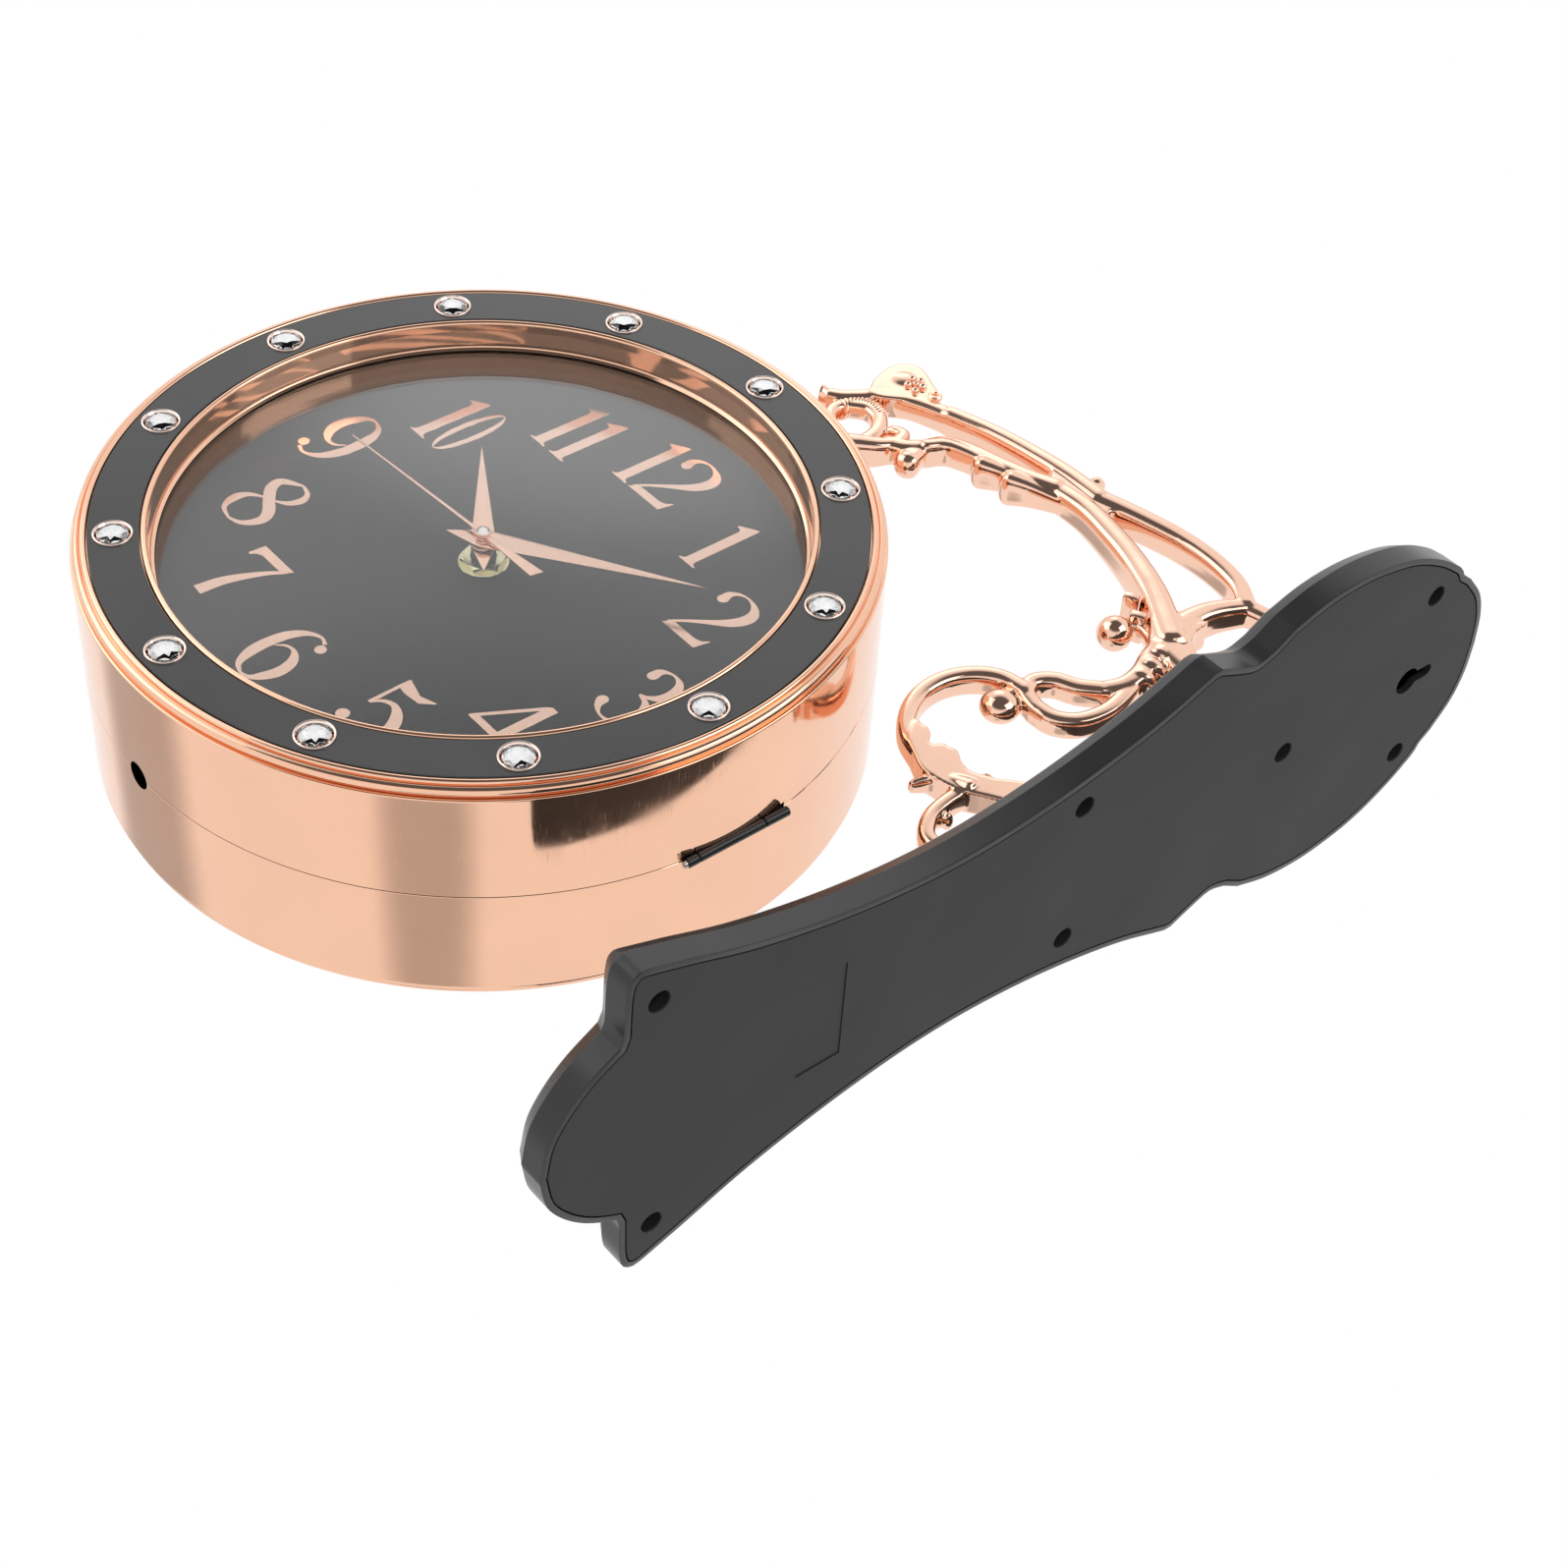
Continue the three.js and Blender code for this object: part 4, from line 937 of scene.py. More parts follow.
# ---------------------------------------------------------------- movement, battery and knob
MOVEMENT_FRONT = PAN_BACK - GAP
MOVEMENT_BACK = MOVEMENT_FRONT - 16.6
BATTERY = 7.1
BATTERY_HALF = 49.5 / 2
BATTERY_DROP = 18.6                           # the cell lies this far below the hands
BAY_ROOM = 0.5                                # room round the cell
KNOB_PLACE = (14, 13)
SOCKET_DEPTH = 4


def movement():
    half, short = 28, 24
    outline = [
        (half, -short), (half, short), (short, half), (-short, half),
        (-half, short), (-half, -short), (-short, -half), (short, -half),
    ]
    body = rounded(prism("movement_case", outline, MOVEMENT_BACK, MOVEMENT_FRONT), 0.8, 3)
    bay, bay_end = BATTERY + BAY_ROOM, BATTERY_HALF + BAY_ROOM
    outside = MOVEMENT_BACK - 1
    combine(body, [
        block("bay", (outside, MOVEMENT_BACK + 2 * bay), (-bay_end, bay_end),
              (-BATTERY_DROP - bay, -BATTERY_DROP + bay)),
        rod("well", "x", 5.8, outside, MOVEMENT_BACK + 0.5, (0, -14, 13)),
        rod("socket", "x", 1.9, outside, MOVEMENT_BACK + SOCKET_DEPTH, (0, *KNOB_PLACE)),
        block("groove", (outside, MOVEMENT_BACK + 0.4), (-25, 25), (-9.6, -9.0)),
    ])
    neck = BUSH - 0.25
    bush = lathe("bush", [
        (BUSH_BORE, MOVEMENT_FRONT - 1), *thread(MOVEMENT_FRONT - 1, BUSH_TOP - 0.3, 0.7, BUSH, neck),
        (neck, BUSH_TOP - 0.2), (BUSH - 0.4, BUSH_TOP), (BUSH_BORE, BUSH_TOP),
    ], SMALL_ROUND)
    combine(body, [rod("bore", "x", BUSH_BORE, PIPE_FOOT - 1, MOVEMENT_FRONT + 1)])
    return join("movement_box", [body, bush])


def battery():
    end = BATTERY_HALF
    return lathe("cell", [
        (0, -end), (4.4, -end), (4.6, -end + 0.25), (6.3, -end + 0.25), (6.9, -end + 0.1),
        (BATTERY, -end + 0.4), (BATTERY, end - 1.6), (6.8, end - 1.2), (6.2, end - 1.3),
        (3.0, end - 1.0), (2.8, end - 0.9), (2.8, end - 0.25), (2.55, end), (0, end),
    ], 40, "y", (MOVEMENT_BACK + BATTERY + GAP, 0, -BATTERY_DROP))


def knob():
    """A small grooved wheel with a dished face on a shaft in the movement's socket."""
    top = MOVEMENT_BACK - GAP
    teeth = 24
    rim = [(4.78 if k % 2 else 5, math.pi * k / teeth) for k in range(2 * teeth)]
    wheel = prism("knob_wheel", [(r * math.cos(a), r * math.sin(a)) for r, a in rim], top - 1.5, top)
    shaft = rod("shaft", "x", 1.6, top - 0.7, MOVEMENT_BACK + SOCKET_DEPTH - GAP)
    combine(wheel, [shaft], "UNION")
    combine(wheel, [rod("dish", "x", 3.4, top - 2.5, top - 1.1)])
    wheel.name = "knob_body"
    return moved(wheel, shift(0, *KNOB_PLACE))


# ---------------------------------------------------------------- hinge of the casing
def knuckle(name, low, high):
    return lathe(name, [
        (HINGE_PIN + GAP, low), (BARREL - 0.3, low), (BARREL, low + 0.3),
        (BARREL, high - 0.3), (BARREL - 0.3, high), (HINGE_PIN + GAP, high),
    ], 40, "z", (0, HINGE_RADIUS, 0))


def hinge_leaf(name, spans, bridge):
    """A leaf inside the casing, with a strap out to each of its knuckles."""
    leaf = block(name, (SEAM, 12), (LEAF_INNER, LEAF_INNER + LEAF_THICKNESS), bridge)
    reach = (LEAF_INNER, HINGE_RADIUS - HINGE_PIN - GAP)
    straps = [block("strap", (SEAM, SEAM + LEAF_THICKNESS), reach, span) for span in spans]
    rounded(combine(leaf, straps, "UNION"), 0.2, 2)
    return join(name, [leaf, *[knuckle("knuckle", *span) for span in spans]])


def hinge():
    first, last = (HINGE_LOW, HINGE_LOW + 4), (HINGE_HIGH - 9, HINGE_HIGH)
    middle = (first[1] + GAP, last[0] - GAP)
    front = hinge_leaf("hinge_front", [middle], middle)
    dress(moved(front, SIDES["front"]), "black_hinge", "front_case", "hinge_front_leaf")
    rear = hinge_leaf("hinge_rear", [first, last], (HINGE_LOW, HINGE_HIGH))
    relief = block("relief", (-1, SLOT_HALF), (LEAF_INNER - 1, HINGE_RADIUS + BARREL + 1),
                   (first[1], last[0]))
    combine(rear, [relief])
    moved(rear, SIDES["front"] @ REAR_HALF)
    dress(rear, "black_hinge", "root", "hinge_rear_leaf")
    foot = HINGE_LOW - GAP
    pin = lathe("hinge_pin_turned", [
        (0, foot - 0.8), (0.95, foot - 0.8), (1.2, foot - 0.55), (1.2, foot), (HINGE_PIN, foot),
        (HINGE_PIN, HINGE_HIGH + 0.1), (0.5, HINGE_HIGH + GAP), (0, HINGE_HIGH + GAP),
    ], SMALL_ROUND, "z", (0, HINGE_RADIUS, 0))
    dress(moved(pin, SIDES["front"]), "screw_steel", "root", "hinge_pin")


# ---------------------------------------------------------------- wall plate
PLATE_STRETCHES = [                           # half of the outline from the bottom up, as [x, z]
    [(0, -120.5), (12, -118), (20.5, -112.8), (27.5, -106), (32, -99.5), (34.5, -95)],
    [(37.5, -93.9), (53, -93.3), (57.4, -92), (59.6, -88.6), (58.4, -83.4)],
    [(54.5, -72), (46, -48), (37.8, -12), (34.4, 22), (36.8, 58), (44.5, 95), (52.8, 118.5)],
    [(53, 121.5), (48.8, 131), (46.7, 137.5), (48.4, 144)],
    [(53, 151.5), (57, 165), (58.3, 179), (57.2, 192), (53.4, 207), (46, 221), (39.4, 229.6)],
    [(37.4, 231.2), (35, 232.4)],
    [(31.4, 236.8), (22, 244), (12, 247.5), (0, 248.6)],
]
PLATE_DEPTH = 13.0
PLATE_EDGE = 8.5                              # depth of the plain edge before it slopes inwards
PLATE_SECTION = [                             # the cover's edge from the wall out, as [inwards, depth]
    (0.25, 0.0), (0.07, 0.07), (0, 0.25), (0, 0.4), (0, PLATE_EDGE - 0.45), (0, PLATE_EDGE - 0.3),
    (0.1, PLATE_EDGE - 0.08), (0.25, PLATE_EDGE), (0.32, PLATE_EDGE + 0.12), (2.2, PLATE_EDGE + 3.4),
    (2.35, PLATE_EDGE + 3.62), (2.6, PLATE_EDGE + 3.95), (2.95, PLATE_EDGE + 4.25), (3.4, PLATE_EDGE + 4.43),
    (3.9, PLATE_DEPTH), (4.2, PLATE_DEPTH),
]
PLATE_WALL = 2.4
PANEL = 2.3                                   # thickness of the back panel
PANEL_RIM = 2.0                               # the cover shows this wide round the panel
PANEL_GAP = 0.45
LEDGE = 1.6
SCREW_HOLE = 3.5
CUP_DEPTH = 5.8
PLATE_SCREWS = [(44.8, -82.6), (26.8, 71), (32.6, 220)]     # x, z on one side
BRACKET_SCREW_Z = 159.5
PEG_Z = 84.0
PEG = 2.5
KEYHOLE_Z = 216.0
KEYHOLE = 4.8
KEYSLOT = 2.3
KEYSLOT_RISE = 9.0
LABEL = ((-18.5, 18.5), (-33, -17))           # bare recess, across and up
COVER_CREASE = 24
PANEL_CREASE = 15


def plate_outline():
    half = []
    for stretch in PLATE_STRETCHES:
        half += [tuple(p) for p in spline(stretch, 2.2)]
    return half + [(-x, z) for x, z in reversed(half[1:-1])]


def inwards(outline, k, reach):
    """A corner of an outline, the way in from it and the way along, read from points reach away."""
    before, here, after = (Vector(outline[(k + d) % len(outline)]) for d in (-reach, 0, reach))
    first, second = (here - before).normalized(), (after - here).normalized()
    return here, Vector((-first.y - second.y, first.x + second.x)).normalized(), first


def inset(outline, distance):
    """The outline moved inwards; points that would cross their neighbours are left out."""
    corners = range(len(outline))
    result = []
    for k in corners:
        here, inward, first = inwards(outline, k, 1)
        stretch = max(0.6, inward.dot(Vector((-first.y, first.x))))
        result.append(here + inward * distance / stretch)
    return [
        tuple(point) for point in result
        if not any(too_near(point, outline[k - 1], outline[k], distance) for k in corners)
    ]


def too_near(point, a, b, distance):
    nearest, share = geometry.intersect_point_line(point, Vector(a), Vector(b))
    nearest = Vector(a).lerp(Vector(b), min(1, max(0, share)))
    return (point - nearest).length < distance - 0.03


def eased(outline, distance, y):
    """A loop of as many points as the outline, moved inwards, for a rounded edge."""
    loop = []
    for k in range(len(outline)):
        here, inward, _ = inwards(outline, k, 2)
        x, z = here + inward * distance
        loop.append((x, y, z))
    return loop


def plate_cover():
    outline = plate_outline()
    loops = [eased(outline, inward, -depth) for inward, depth in PLATE_SECTION]
    cover = skin("plate_shell", loops, COVER_CREASE)
    cutters = [
        prism("hollow", inset(outline, PANEL_RIM), 1, -PANEL - GAP, "y"),
        prism("cavity", inset(outline, PANEL_RIM + LEDGE), -PANEL, -PLATE_DEPTH + PLATE_WALL, "y"),
    ]
    cutters += [rod("way", "y", PEG, -PLATE_DEPTH - 1, -8, (0, 0, z)) for z in (BRACKET_SCREW_Z, PEG_Z)]
    return combine(cover, cutters, angle=COVER_CREASE)


def screw_places():
    return [(side * x, z) for x, z in PLATE_SCREWS for side in (1, -1)]


def plate_panel():
    edge = inset(plate_outline(), PANEL_RIM + PANEL_GAP)
    sheet = [eased(edge, 0.22, 0.0), eased(edge, 0.06, -0.06)]
    sheet += [[(x, y, z) for x, z in edge] for y in (-0.22, -PANEL)]
    panel = skin("panel_sheet", sheet, PANEL_CREASE)
    places = [(x, 0, z) for x, z in (*screw_places(), (0, BRACKET_SCREW_Z))]
    cups = [rod("cup", "y", SCREW_HOLE + 1.2, -CUP_DEPTH - 1.2, -PANEL / 2, place) for place in places]
    combine(panel, cups, "UNION", PANEL_CREASE)
    mouth = [(0, 1), (SCREW_HOLE + 1.3, 1), (SCREW_HOLE, -0.3), (SCREW_HOLE, -CUP_DEPTH), (0, -CUP_DEPTH)]
    across, up = LABEL
    outside, top = -PANEL - 1, KEYHOLE_Z + KEYSLOT_RISE
    keyhole = combine(rod("head", "y", KEYHOLE, outside, 1, (0, 0, KEYHOLE_Z), 48), [
        block("slot", (-KEYSLOT, KEYSLOT), (outside, 1), (KEYHOLE_Z, top)),
        rod("end", "y", KEYSLOT, outside, 1, (0, 0, top)),
    ], "UNION")
    cutters = [lathe("mouth", mouth, 40, "y", place) for place in places]
    return combine(panel, [*cutters, keyhole, block("label", across, (-0.3, 1), up)], angle=PANEL_CREASE)


def plate_screw(name, place, head, shank, tip):
    """A pan head with a cross recess at the bottom of its cup, and its threaded shank."""
    x, z = place
    seat = -CUP_DEPTH + GAP
    top = seat + 2.0
    body = lathe(name, [
        (0, top), (head * 0.55, top - 0.05), (head * 0.9, top - 0.45), (head, top - 1.0), (head, seat),
        (shank, seat), *thread(seat - 0.4, tip + 1.0, -1.0, shank, shank * 0.74),
        (shank * 0.6, tip + 0.5), (0, tip),
    ], SMALL_ROUND, "y", (x, 0, z))
    return combine(body, [
        block("arm", (x - wide, x + wide), (top - 1.2, top + 1), (z - tall, z + tall))
        for wide, tall in ((1.7, 0.35), (0.35, 1.7))
    ])


def plate():
    dress(plate_cover(), "black_plastic", "root", "plate_cover")
    dress(plate_panel(), "black_panel", "root", "plate_back_panel")
    for k, place in enumerate(screw_places()):
        piece = plate_screw(f"plate_fastener_{k + 1}", place, 2.9, 1.3, -PLATE_DEPTH + PLATE_WALL)
        dress(piece, "screw_steel", "root", f"plate_screw_{k + 1}")
    place = (0, BRACKET_SCREW_Z)
    piece = plate_screw("bracket_fastener", place, SCREW_HOLE - GAP, STUD, -PLATE_DEPTH - 10)
    dress(piece, "screw_steel", "root", "bracket_screw")


# ---------------------------------------------------------------- cast bracket
FOOT_TOP = RADIUS + GAP
SPINE = -21.0                                 # y of the upright behind the scrolls
BARS = [            # end radii, depth along X as a multiple of them, [y, z] points
    (3.6, 4.2, 1.4, [(-54, 199), (-63, 204.2), (-75, 206.6), (-90, 206.4), (-106, 203.4), (-122, 199)]),
    (4.2, 3.6, 1.45, [(-122, 199), (-137, 199.4), (-154, 198), (-172, 195), (-188, 190.4)]),
    (3.6, 3.0, 1.3, [(-188, 190.4), (-201, 185.4), (-210, 179.4), (-215, 172), (-218.5, 167.4),
                     (-222, 164.8)]),
    (5.6, 4.0, 1.3, [(-55, 166), (-64, 171.5), (-76, 178.4), (-92, 185), (-108, 189.5), (-122, 192),
                     (-135, 191.6)]),
    (4.0, 2.8, 1.4, [(-135, 191.6), (-146, 187.4), (-158, 184.6), (-170, 182), (-177, 178.4), (-180, 171)]),
    (5.0, 3.6, 1.3, [(-58, 168), (-59.4, 178), (-58.4, 188), (-54, 199)]),
    (3.6, 3.4, 1.2, [(-54, 199), (-42, 201), (-30, 196.6), (SPINE, 186)]),
    (3.4, 3.4, 1.1, [(SPINE, 186), (SPINE, 135), (SPINE, PEG_Z)]),
    (5.6, 5.0, 1.1, [(-55, 162), (-38, 160), (SPINE, BRACKET_SCREW_Z)]),
    (4.8, 3.4, 1.2, [(-55, 168), (-54, 157), (-50.4, 148), (-49.6, 140), (-52.4, 133)]),
    (3.4, 3.2, 1.25, [(-52.4, 133), (-58, 127.6), (-64.6, 124), (-68, 118), (-65.4, 112.6), (-59, 110.6)]),
    (3.2, 3.2, 1.25, [(-59, 110.6), (-52, 111.6), (-46.4, 117), (-44.4, 127), (-46.4, 137), (-50, 145)]),
    (3.4, 3.0, 1.35, [(-66, 113), (-75, 111), (-81.4, 105), (-85, 96), (-84.4, 86), (-80, 77), (-73, 70.6),
                      (-65, 67.6), (-58, 66.4), (-50, 67.4)]),
    (2.8, 2.8, 1.4, [(-43, 76), (-43.6, 70), (-43.4, 60), (-41, 51), (-35.4, 45.4), (-28, 46), (-25, 51)]),
    (1.3, 3.0, 1.9, [(-56, 57.6), (-54.6, 61.5), (-51.4, 65), (-47, 67.6), (-43, 68.8)]),
    (2.6, 2.0, 1.2, [(-58, 161.4), (-63, 164.4), (-68.7, 165.3), (-72.4, 162.6)]),
    (2.8, 2.6, 1.0, [(-123, 199), (-127, 202), (-130.2, 205)]),
    (4.2, 2.2, 1.5, [(-REACH, 150), (-192.4, 154), (-188.4, 159), (-186.4, 165), (-189, 170.4),
                     (-193.4, 169.4)]),
    (3.0, 3.0, 1.1, [(-214, 167), (-208, 171.4), (-201, 170), (-196, 164.4), (-194.4, 157)]),
    (2.6, 2.6, 1.1, [(-214.6, 168), (-215.4, 162), (-212.4, 157), (-206.6, 154.4), (-199, 153)]),
    (3.6, 3.4, 1.3, [(-188, 162), (-183, 165.4), (-179.6, 170)]),
    (3.2, 4.2, 1.1, [(-180, 171.4), (-178.6, 167), (-177.2, 162)]),
    (3.0, 2.6, 1.75, [(-178.4, 171), (-175, 177.2), (-167, 180.8), (-160, 182.4)]),
    (3.4, 2.2, 1.75, [(-159.4, 179.6), (-153, 183), (-145, 186)]),
    (3.6, 2.0, 1.75, [(-147.4, 181.6), (-141, 185.2), (-130, 189.4)]),
]
BAR_SQUARENESS = 3.2                          # exponent of a bar's section; 2 is an oval
WEBS = [                                      # depth to each side of x = 0, [y, z] outline
    (4.4, [(-75, 76), (-72.2, 75.4), (-70.4, 76), (-67.4, 74.8), (-64.9, 71.9), (-63.6, 72), (-62.4, 74),
           (-61.4, 75.2), (-60, 75), (-59, 75.6), (-57.4, 76.2), (-55, 75.4), (-52.4, 73.9), (-48.3, 73.3),
           (-45, 74.5), (-41, 77.1), (-36, 82), (-30, 86.6), (SPINE, 88), (SPINE, 78), (-31, 73), (-38, 68.4),
           (-43, 65), (-50, 62.6), (-57, 62), (-64, 64.6), (-70, 68)]),
    (5.4, [(-68, 170), (-62.6, 172.4), (-59.9, 172.4), (-57, 174.6), (-54, 181), (-52, 172), (-46, 167),
           (-38, 165), (-36, 156), (-44, 155), (-50, 158), (-57, 158.4), (-62, 163)]),
    (4.9, [(-143, 197), (-140, 193.6), (-132, 191), (-120, 191.6), (-113, 193), (-114, 196), (-112, 199),
           (-120, 199), (-134, 198.6)]),
    (2.4, [(-138, 199.6), (-135.6, 202.4), (-134.6, 202.2), (-134.8, 205.6), (-131, 203), (-126.4, 204.6),
           (-120, 201)]),
    (4.4, [(-211, 175), (-216.4, 179.6), (-219.4, 187.4), (-219.6, 195), (-214.9, 199.6), (-208.7, 198.8),
           (-203, 196.6), (-197.6, 194.6), (-193, 189.4), (-200, 184)]),
]
BALLS = [                                     # y, z, radius, half depth along X
    (-71.4, 157.1, 5.9, 5.9), (-67.2, 103.6, 6.5, 4.9), (-130.9, 206.6, 3.1, 3.1),
    (-177.2, 162.0, 4.6, 4.8), (-25.4, 52, 4.0, 4.0), (-38.6, 56, 2.0, 3.2), (-211.4, 190.4, 9.0, 5.1),
]
BEADS = [                                     # y, z, radius of the beads on the near and far side
    (-207.4, 188.5, 1.5), (-209.2, 191.9, 1.5), (-206.4, 193.5, 1.5), (-203.4, 191.7, 1.6),
    (-203.2, 188.1, 1.5), (-206, 190.9, 1.3),
]
BEAD_HEIGHT = 4.7
RING_BEAD = (-196.6, 191.6)
RING_PROFILE = [(1.1, -0.8), (2.5, -0.8), (2.5, 0.5), (2.1, 0.9), (1.5, 0.9), (1.1, 0.5)]
TEETH = [(-78.4, 169.6), (-70.4, 164.8)]      # y, z of the steps under the sweep
TOOTH = 3.4
COLLARS = [(-52.4, 158.4, 6.3), (-50.6, 152.4, 5.7), (-49.2, 147, 5.2)]     # y, z, radius
ROPE = [(-214.6, 164.4), (-214, 168.4), (-211.8, 171.6), (-208, 173), (-203.8, 172.4)]
TIP = (-222.6, 164.2)
POST = [(8, 0), (8, 2), (5, 5), (4, 12), (5.6, 19), (5.6, 21), (4.4, 24)]   # radius, height over the drum
POST_TOP = 152


def squared(share, size):
    """A sine or cosine drawn out towards the corners of a superellipse."""
    return size * math.copysign(abs(share) ** (2 / BAR_SQUARENESS), share)


def tube(name, start, end, deep, path, sides=28, step=1.6):
    """A flat sided bar swept along a smooth path in the plane x = 0, with domed ends."""
    line = [Vector((0, p.x, p.y)) for p in spline(path, step)]
    last = len(line) - 1
    rings = []
    for k, spot in enumerate(line):
        along = (line[min(k + 1, last)] - line[max(k - 1, 0)]).normalized()
        rings.append((spot, along, start + (end - start) * k / last))
    first, final = [], []
    for share in (0.35, 0.65, 0.87, 0.97, 1.0):
        inner = max(0.02, math.sqrt(max(0.0, 1 - share * share)))
        first.append((line[0] - rings[0][1] * start * share, rings[0][1], start * inner))
        final.append((line[-1] + rings[last][1] * end * share, rings[last][1], end * inner))
    rings = first[::-1] + rings + final
    angles = [2 * math.pi * (k + 0.5) / sides for k in range(sides)]
    loops = []
    for spot, along, radius in rings:
        across = Vector((0, -along.z, along.y))
        loops.append([
            spot + across * squared(math.cos(a), radius) + Vector((squared(math.sin(a), radius * deep), 0, 0))
            for a in angles
        ])
    return skin(name, loops)


def web(depth, outline):
    """A flat of the casting between its bars."""
    return prism("web", [tuple(p) for p in spline(outline, 1.0, closed=True)], -depth, depth)


def ball(y, z, radius, depth, x=0.0):
    bm = bmesh.new()
    bmesh.ops.create_icosphere(bm, subdivisions=4, radius=MM)
    mesh = bpy.data.meshes.new("ball")
    bm.to_mesh(mesh)
    bm.free()
    return moved(put("ball", mesh), shift(x, y, z) @ Matrix.Diagonal((depth, radius, radius, 1)))


def crisp_details():
    """Beads, teeth, rope turns and the flared tip, which keep sharp creases where they meet the casting."""
    pieces = []
    for side in (1, -1):
        pieces += [ball(y, z, radius, radius, side * BEAD_HEIGHT) for y, z, radius in BEADS]
        ring = lathe("ring_bead", RING_PROFILE, 28)
        pieces.append(moved(ring, shift(side * 4.9, *RING_BEAD) @ turn("Z", 0 if side > 0 else 180)))
    for place in TEETH:
        tooth = block("tooth", (-5.4, 5.4), (-TOOTH / 2, TOOTH), (-TOOTH / 2, TOOTH / 2), bevel=0.5)
        pieces.append(moved(tooth, shift(0, *place) @ turn("X", 28)))
    rope = spline(ROPE, 1.5)
    for k, spot in enumerate(rope):
        ahead = rope[min(k + 1, len(rope) - 1)] - rope[max(k - 1, 0)]
        slope = math.degrees(math.atan2(ahead.y, ahead.x))
        strand = lathe("rope_turn", [(0, -0.75), *arc(3.1, 0, 0.72, -90, 90, 6), (0, 0.75)], 28, "y")
        pieces.append(moved(strand, shift(0, *spot) @ turn("X", slope) @ turn("Z", 22)))
    flare = lathe("flare", [
        (0, -1.2), (3.2, -1.2), (3.9, 0), (4.5, 1.2), (4.6, 1.8), (4.2, 2.1), (3.4, 1.7), (0, 1.3),
    ], 36, "y")
    pieces.append(moved(flare, shift(0, *TIP) @ turn("X", 32) @ Matrix.Diagonal((1.1, -1, 0.8, 1))))
    return join("bracket_details", pieces)


def bracket():
    """The casting: bars, webs, balls, collars, feet and post, melted together with soft fillets."""
    parts = [tube("bar", *bar) for bar in BARS]
    parts += [web(*spot) for spot in WEBS]
    parts += [ball(*spot) for spot in BALLS]
    for y, z, radius in COLLARS:
        band = lathe("collar", [
            (0, -2.3), (radius - 0.9, -2.3), (radius, -1.3), (radius, 1.3), (radius - 0.9, 2.3), (0, 2.3),
        ], 36, "z")
        parts.append(moved(band, shift(0, y, z) @ turn("X", 20)))
    seat = -PLATE_DEPTH - GAP
    for z, radius in ((BRACKET_SCREW_Z, 6.6), (PEG_Z, 6.0)):
        parts.append(lathe("foot", [
            (0, seat), (radius, seat), (radius, seat - 1.6), (radius - 0.9, seat - 2.6),
            (radius - 1.6, SPINE), (radius - 2.4, SPINE - 3), (0, SPINE - 3),
        ], 40, "y", (0, 0, z)))
    parts.append(rod("peg", "y", PEG, seat - 1, -PLATE_DEPTH + 5, (0, 0, PEG_Z), bevel=0.4))
    turned = [(radius, FOOT_TOP + rise) for radius, rise in POST]
    post = [(0, FOOT_TOP), *turned, (turned[-1][0], POST_TOP), (0, POST_TOP)]
    parts.append(lathe("post", post, 48, "z", (0, -REACH, 0)))
    parts.append(rod("spigot", "z", 4.2, RADIUS - 7, FOOT_TOP + 1, (0, -REACH, 0), bevel=0.4))
    dress(crisp_details(), "rose_gold_metal", "root", "bracket_arm")
    casting = join("bracket_casting", parts)
    remesh = casting.modifiers.new("remesh", "REMESH")
    remesh.mode = "VOXEL"
    remesh.voxel_size = 0.45 * MM
    smooth = casting.modifiers.new("smooth", "SMOOTH")
    smooth.iterations = 7
    settle(casting, 60)
    dress(casting, "rose_gold_metal", "root", "bracket_arm")


def hanger():
    """The stud that holds the drum to its post, with its nut under the pad."""
    seat = PAD_FOOT - GAP
    low = seat - 2.6
    nut = hex_nut("hanger_nut", 9.4 / math.sqrt(3), low, seat, 1.0)
    moved(nut, shift(0, -REACH, 0) @ turn("Y", -90))
    top = FOOT_TOP + 11
    stud = lathe("stud", [
        (0, low - 0.6), (1.6, low - 0.6), *thread(low - 0.2, top - 1, 0.7, STUD, 1.65), (1.6, top), (0, top),
    ], SMALL_ROUND, "z", (0, -REACH, 0))
    dress(join("hanger_stud", [nut, stud]), "screw_steel", "root", "hanger_screw")


# ---------------------------------------------------------------- everything in its place
front_shell()
rear_shell()
place_sides(face_ring(), "ring_black", "face_ring")
place_sides(bezels(), "rose_gold_metal", "face_ring", material="bezel_metal")
stones()
place_sides(lens(), "lens_glass", "lens")
place_sides(dial(), "dial_black", "dial")
place_sides(numerals(), "hand_rose", "dial")
place_sides(dial_nut(), "nut_brass", "dial_nut")
for moving in HANDS:
    place_sides(hand(moving), "hand_rose", f"{moving}_hand", moving)
place_sides(cap(), "screw_steel", "second_hand", "second", "cap_silver")
place_sides(cap_ring(), "hand_rose", "second_hand", "second")
place_sides(movement(), "movement_plastic", "movement")
place_sides(battery(), "battery_wrap", "battery")
place_sides(knob(), "movement_plastic", "set_knob", "knob")
hinge()
plate()
bracket()
hanger()


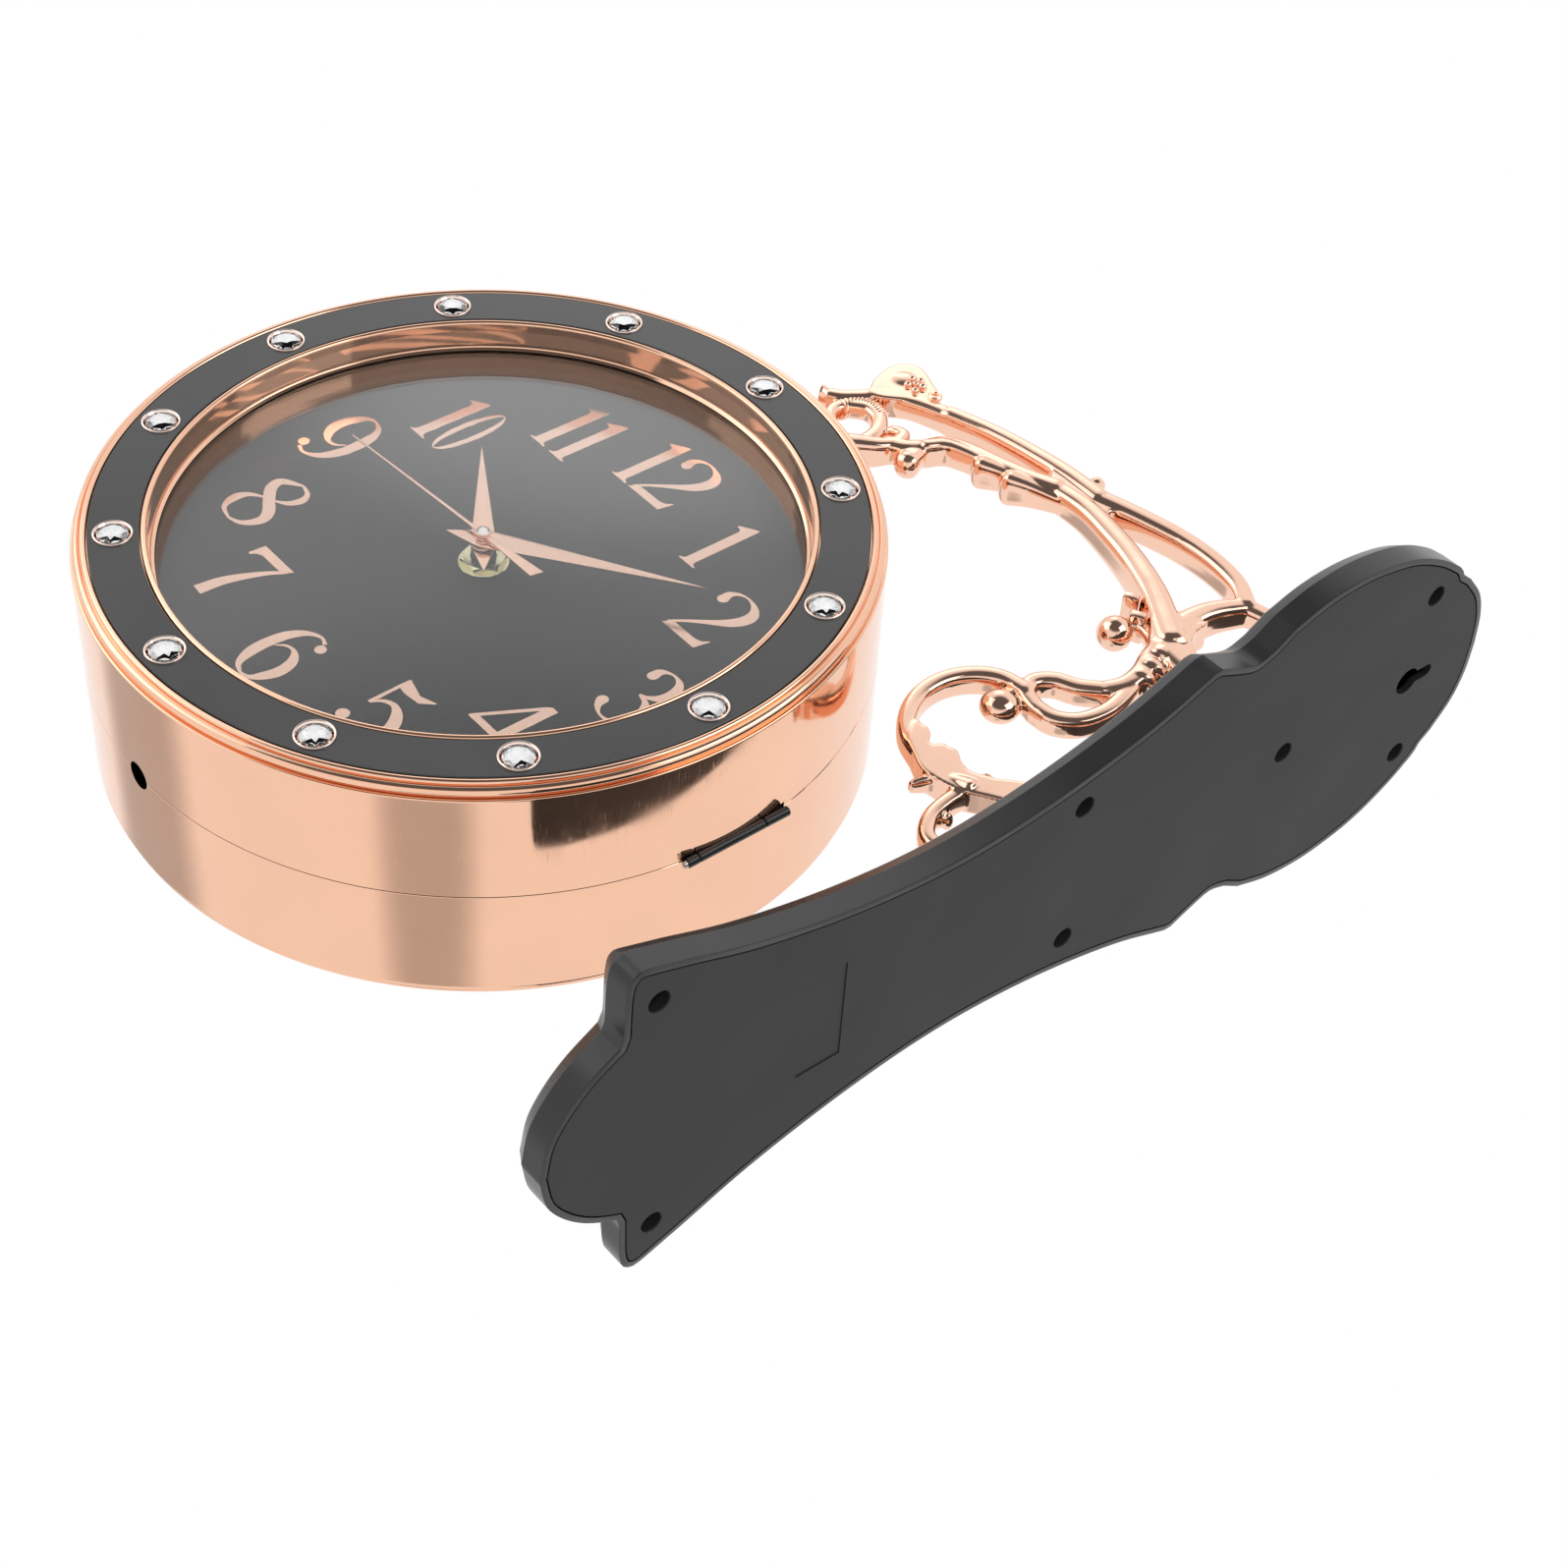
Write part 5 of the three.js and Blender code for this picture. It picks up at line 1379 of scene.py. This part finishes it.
# ---------------------------------------------------------------- floor, light and camera
ROOM_LIGHT = 0.55                             # strength of the even light on the clock
ROOM_FADE = (0.66, 0.86, 1.0, 0.12)           # along X, between which metal sees the room darken
STUDIO_SPOTS = [    # direction, cosines of full and no effect, change of what polished metal sees there
    ((0.45, -0.68, 0.58), 0.995, 0.965, 0.8),
    ((-0.677, -0.640, -0.360), 0.992, 0.950, -0.45),
    ((-0.677, 0.45, -0.58), 0.997, 0.975, -0.45),
]
MIDDLE = (0, -0.15, 0.05)
LAMPS = {           # place and target in metres, side, power, whether polished metal shows it
    "side": ((1.3, 0.9, 0.9), MIDDLE, 1.2, 8, True),
    "fill": ((1.1, -1.3, -0.5), MIDDLE, 1.4, 7, True),
    "back": ((-1.4, -0.4, 0.8), MIDDLE, 1.2, 8, False),
    "key": ((0.7, -1.15, 0.8), (0, -0.2, 0.0), 0.5, 9, False),
}


def floor():
    """A pale floor that mirrors and the lens see through, to the white room."""
    half, depth = 6000, -1150
    corners = [(-half, -half, depth), (half, -half, depth), (half, half, depth), (-half, half, depth)]
    slab = new_object("floor", corners, [(0, 1, 2, 3)])
    paint = Paint("floor", Roughness=0.9)
    paint.set("Base Color", paint.ramp(paint.noise(3, 2), 0.3, grey(0.80), 0.7, grey(0.84)))
    path = paint.node("LightPath").outputs
    seen = paint.maths("MAXIMUM", path["Is Glossy Ray"], path["Is Transmission Ray"])
    paint.show(paint.blend(seen, paint.shader.outputs[0], paint.node("BsdfTransparent").outputs[0]))
    slab.data.materials.append(paint.material)


def area_light(name, place, target, size, power, mirrored):
    light = bpy.data.lights.new(name, "AREA")
    light.shape = "RECTANGLE"
    light.size = light.size_y = size
    light.energy = power
    lamp = put(name, light)
    lamp.location = Vector(place)
    lamp.rotation_euler = (Vector(target) - Vector(place)).to_track_quat("-Z", "Y").to_euler()
    lamp.visible_glossy = mirrored
    lamp.visible_transmission = False


def world():
    """White to the camera and through glass; polished metal sees a room that darkens past the dial."""
    made = bpy.data.worlds.new("studio")
    bpy.context.scene.world = made
    studio = Nodes(made)
    studio.nodes.clear()
    toward = studio.node("TexCoord").outputs["Generated"]
    along = studio.node("SeparateXYZ", {0: toward}).outputs[0]
    mirrored = studio.span(along, *ROOM_FADE, interpolation_type="SMOOTHSTEP")
    for spot, near, far, amount in STUDIO_SPOTS:
        facing = {0: toward, 1: Vector(spot).normalized()}
        cosine = studio.node("VectorMath", facing, operation="DOT_PRODUCT").outputs["Value"]
        change = studio.span(cosine, far, near, 0.0, amount, interpolation_type="SMOOTHSTEP")
        mirrored = studio.maths("ADD", mirrored, change)
    white, room, mirror = (
        studio.node("Background", {"Color": grey(1), "Strength": strength}).outputs[0]
        for strength in (1.0, ROOM_LIGHT, mirrored)
    )
    path = studio.node("LightPath").outputs
    seen = studio.maths("MAXIMUM", path["Is Camera Ray"], path["Is Transmission Ray"])
    shown = studio.blend(seen, studio.blend(path["Is Glossy Ray"], room, mirror), white)
    studio.node("OutputWorld", {"Surface": shown})


def camera():
    """At the photograph's viewing angle: below the clock, on the dial and wall side."""
    eye = Vector((0.5938, 0.3905, -0.4020))
    ahead = Vector((-0.67718, -0.55814, 0.47948))
    up = Vector((0.73476, -0.54778, 0.40008))
    data = bpy.data.cameras.new("camera")
    data.lens = 66.88
    data.sensor_width = 36
    data.shift_x = 0.0405
    data.shift_y = -0.0151
    data.clip_start = 0.01
    view = put("camera", data)
    turned = Matrix((ahead.cross(up), up, -ahead)).transposed()
    view.matrix_world = Matrix.Translation(eye) @ turned.to_4x4()
    bpy.context.scene.camera = view


floor()
world()
for lamp_name, lamp_values in LAMPS.items():
    area_light(lamp_name, *lamp_values)
camera()
bpy.context.scene.view_settings.view_transform = "Standard"
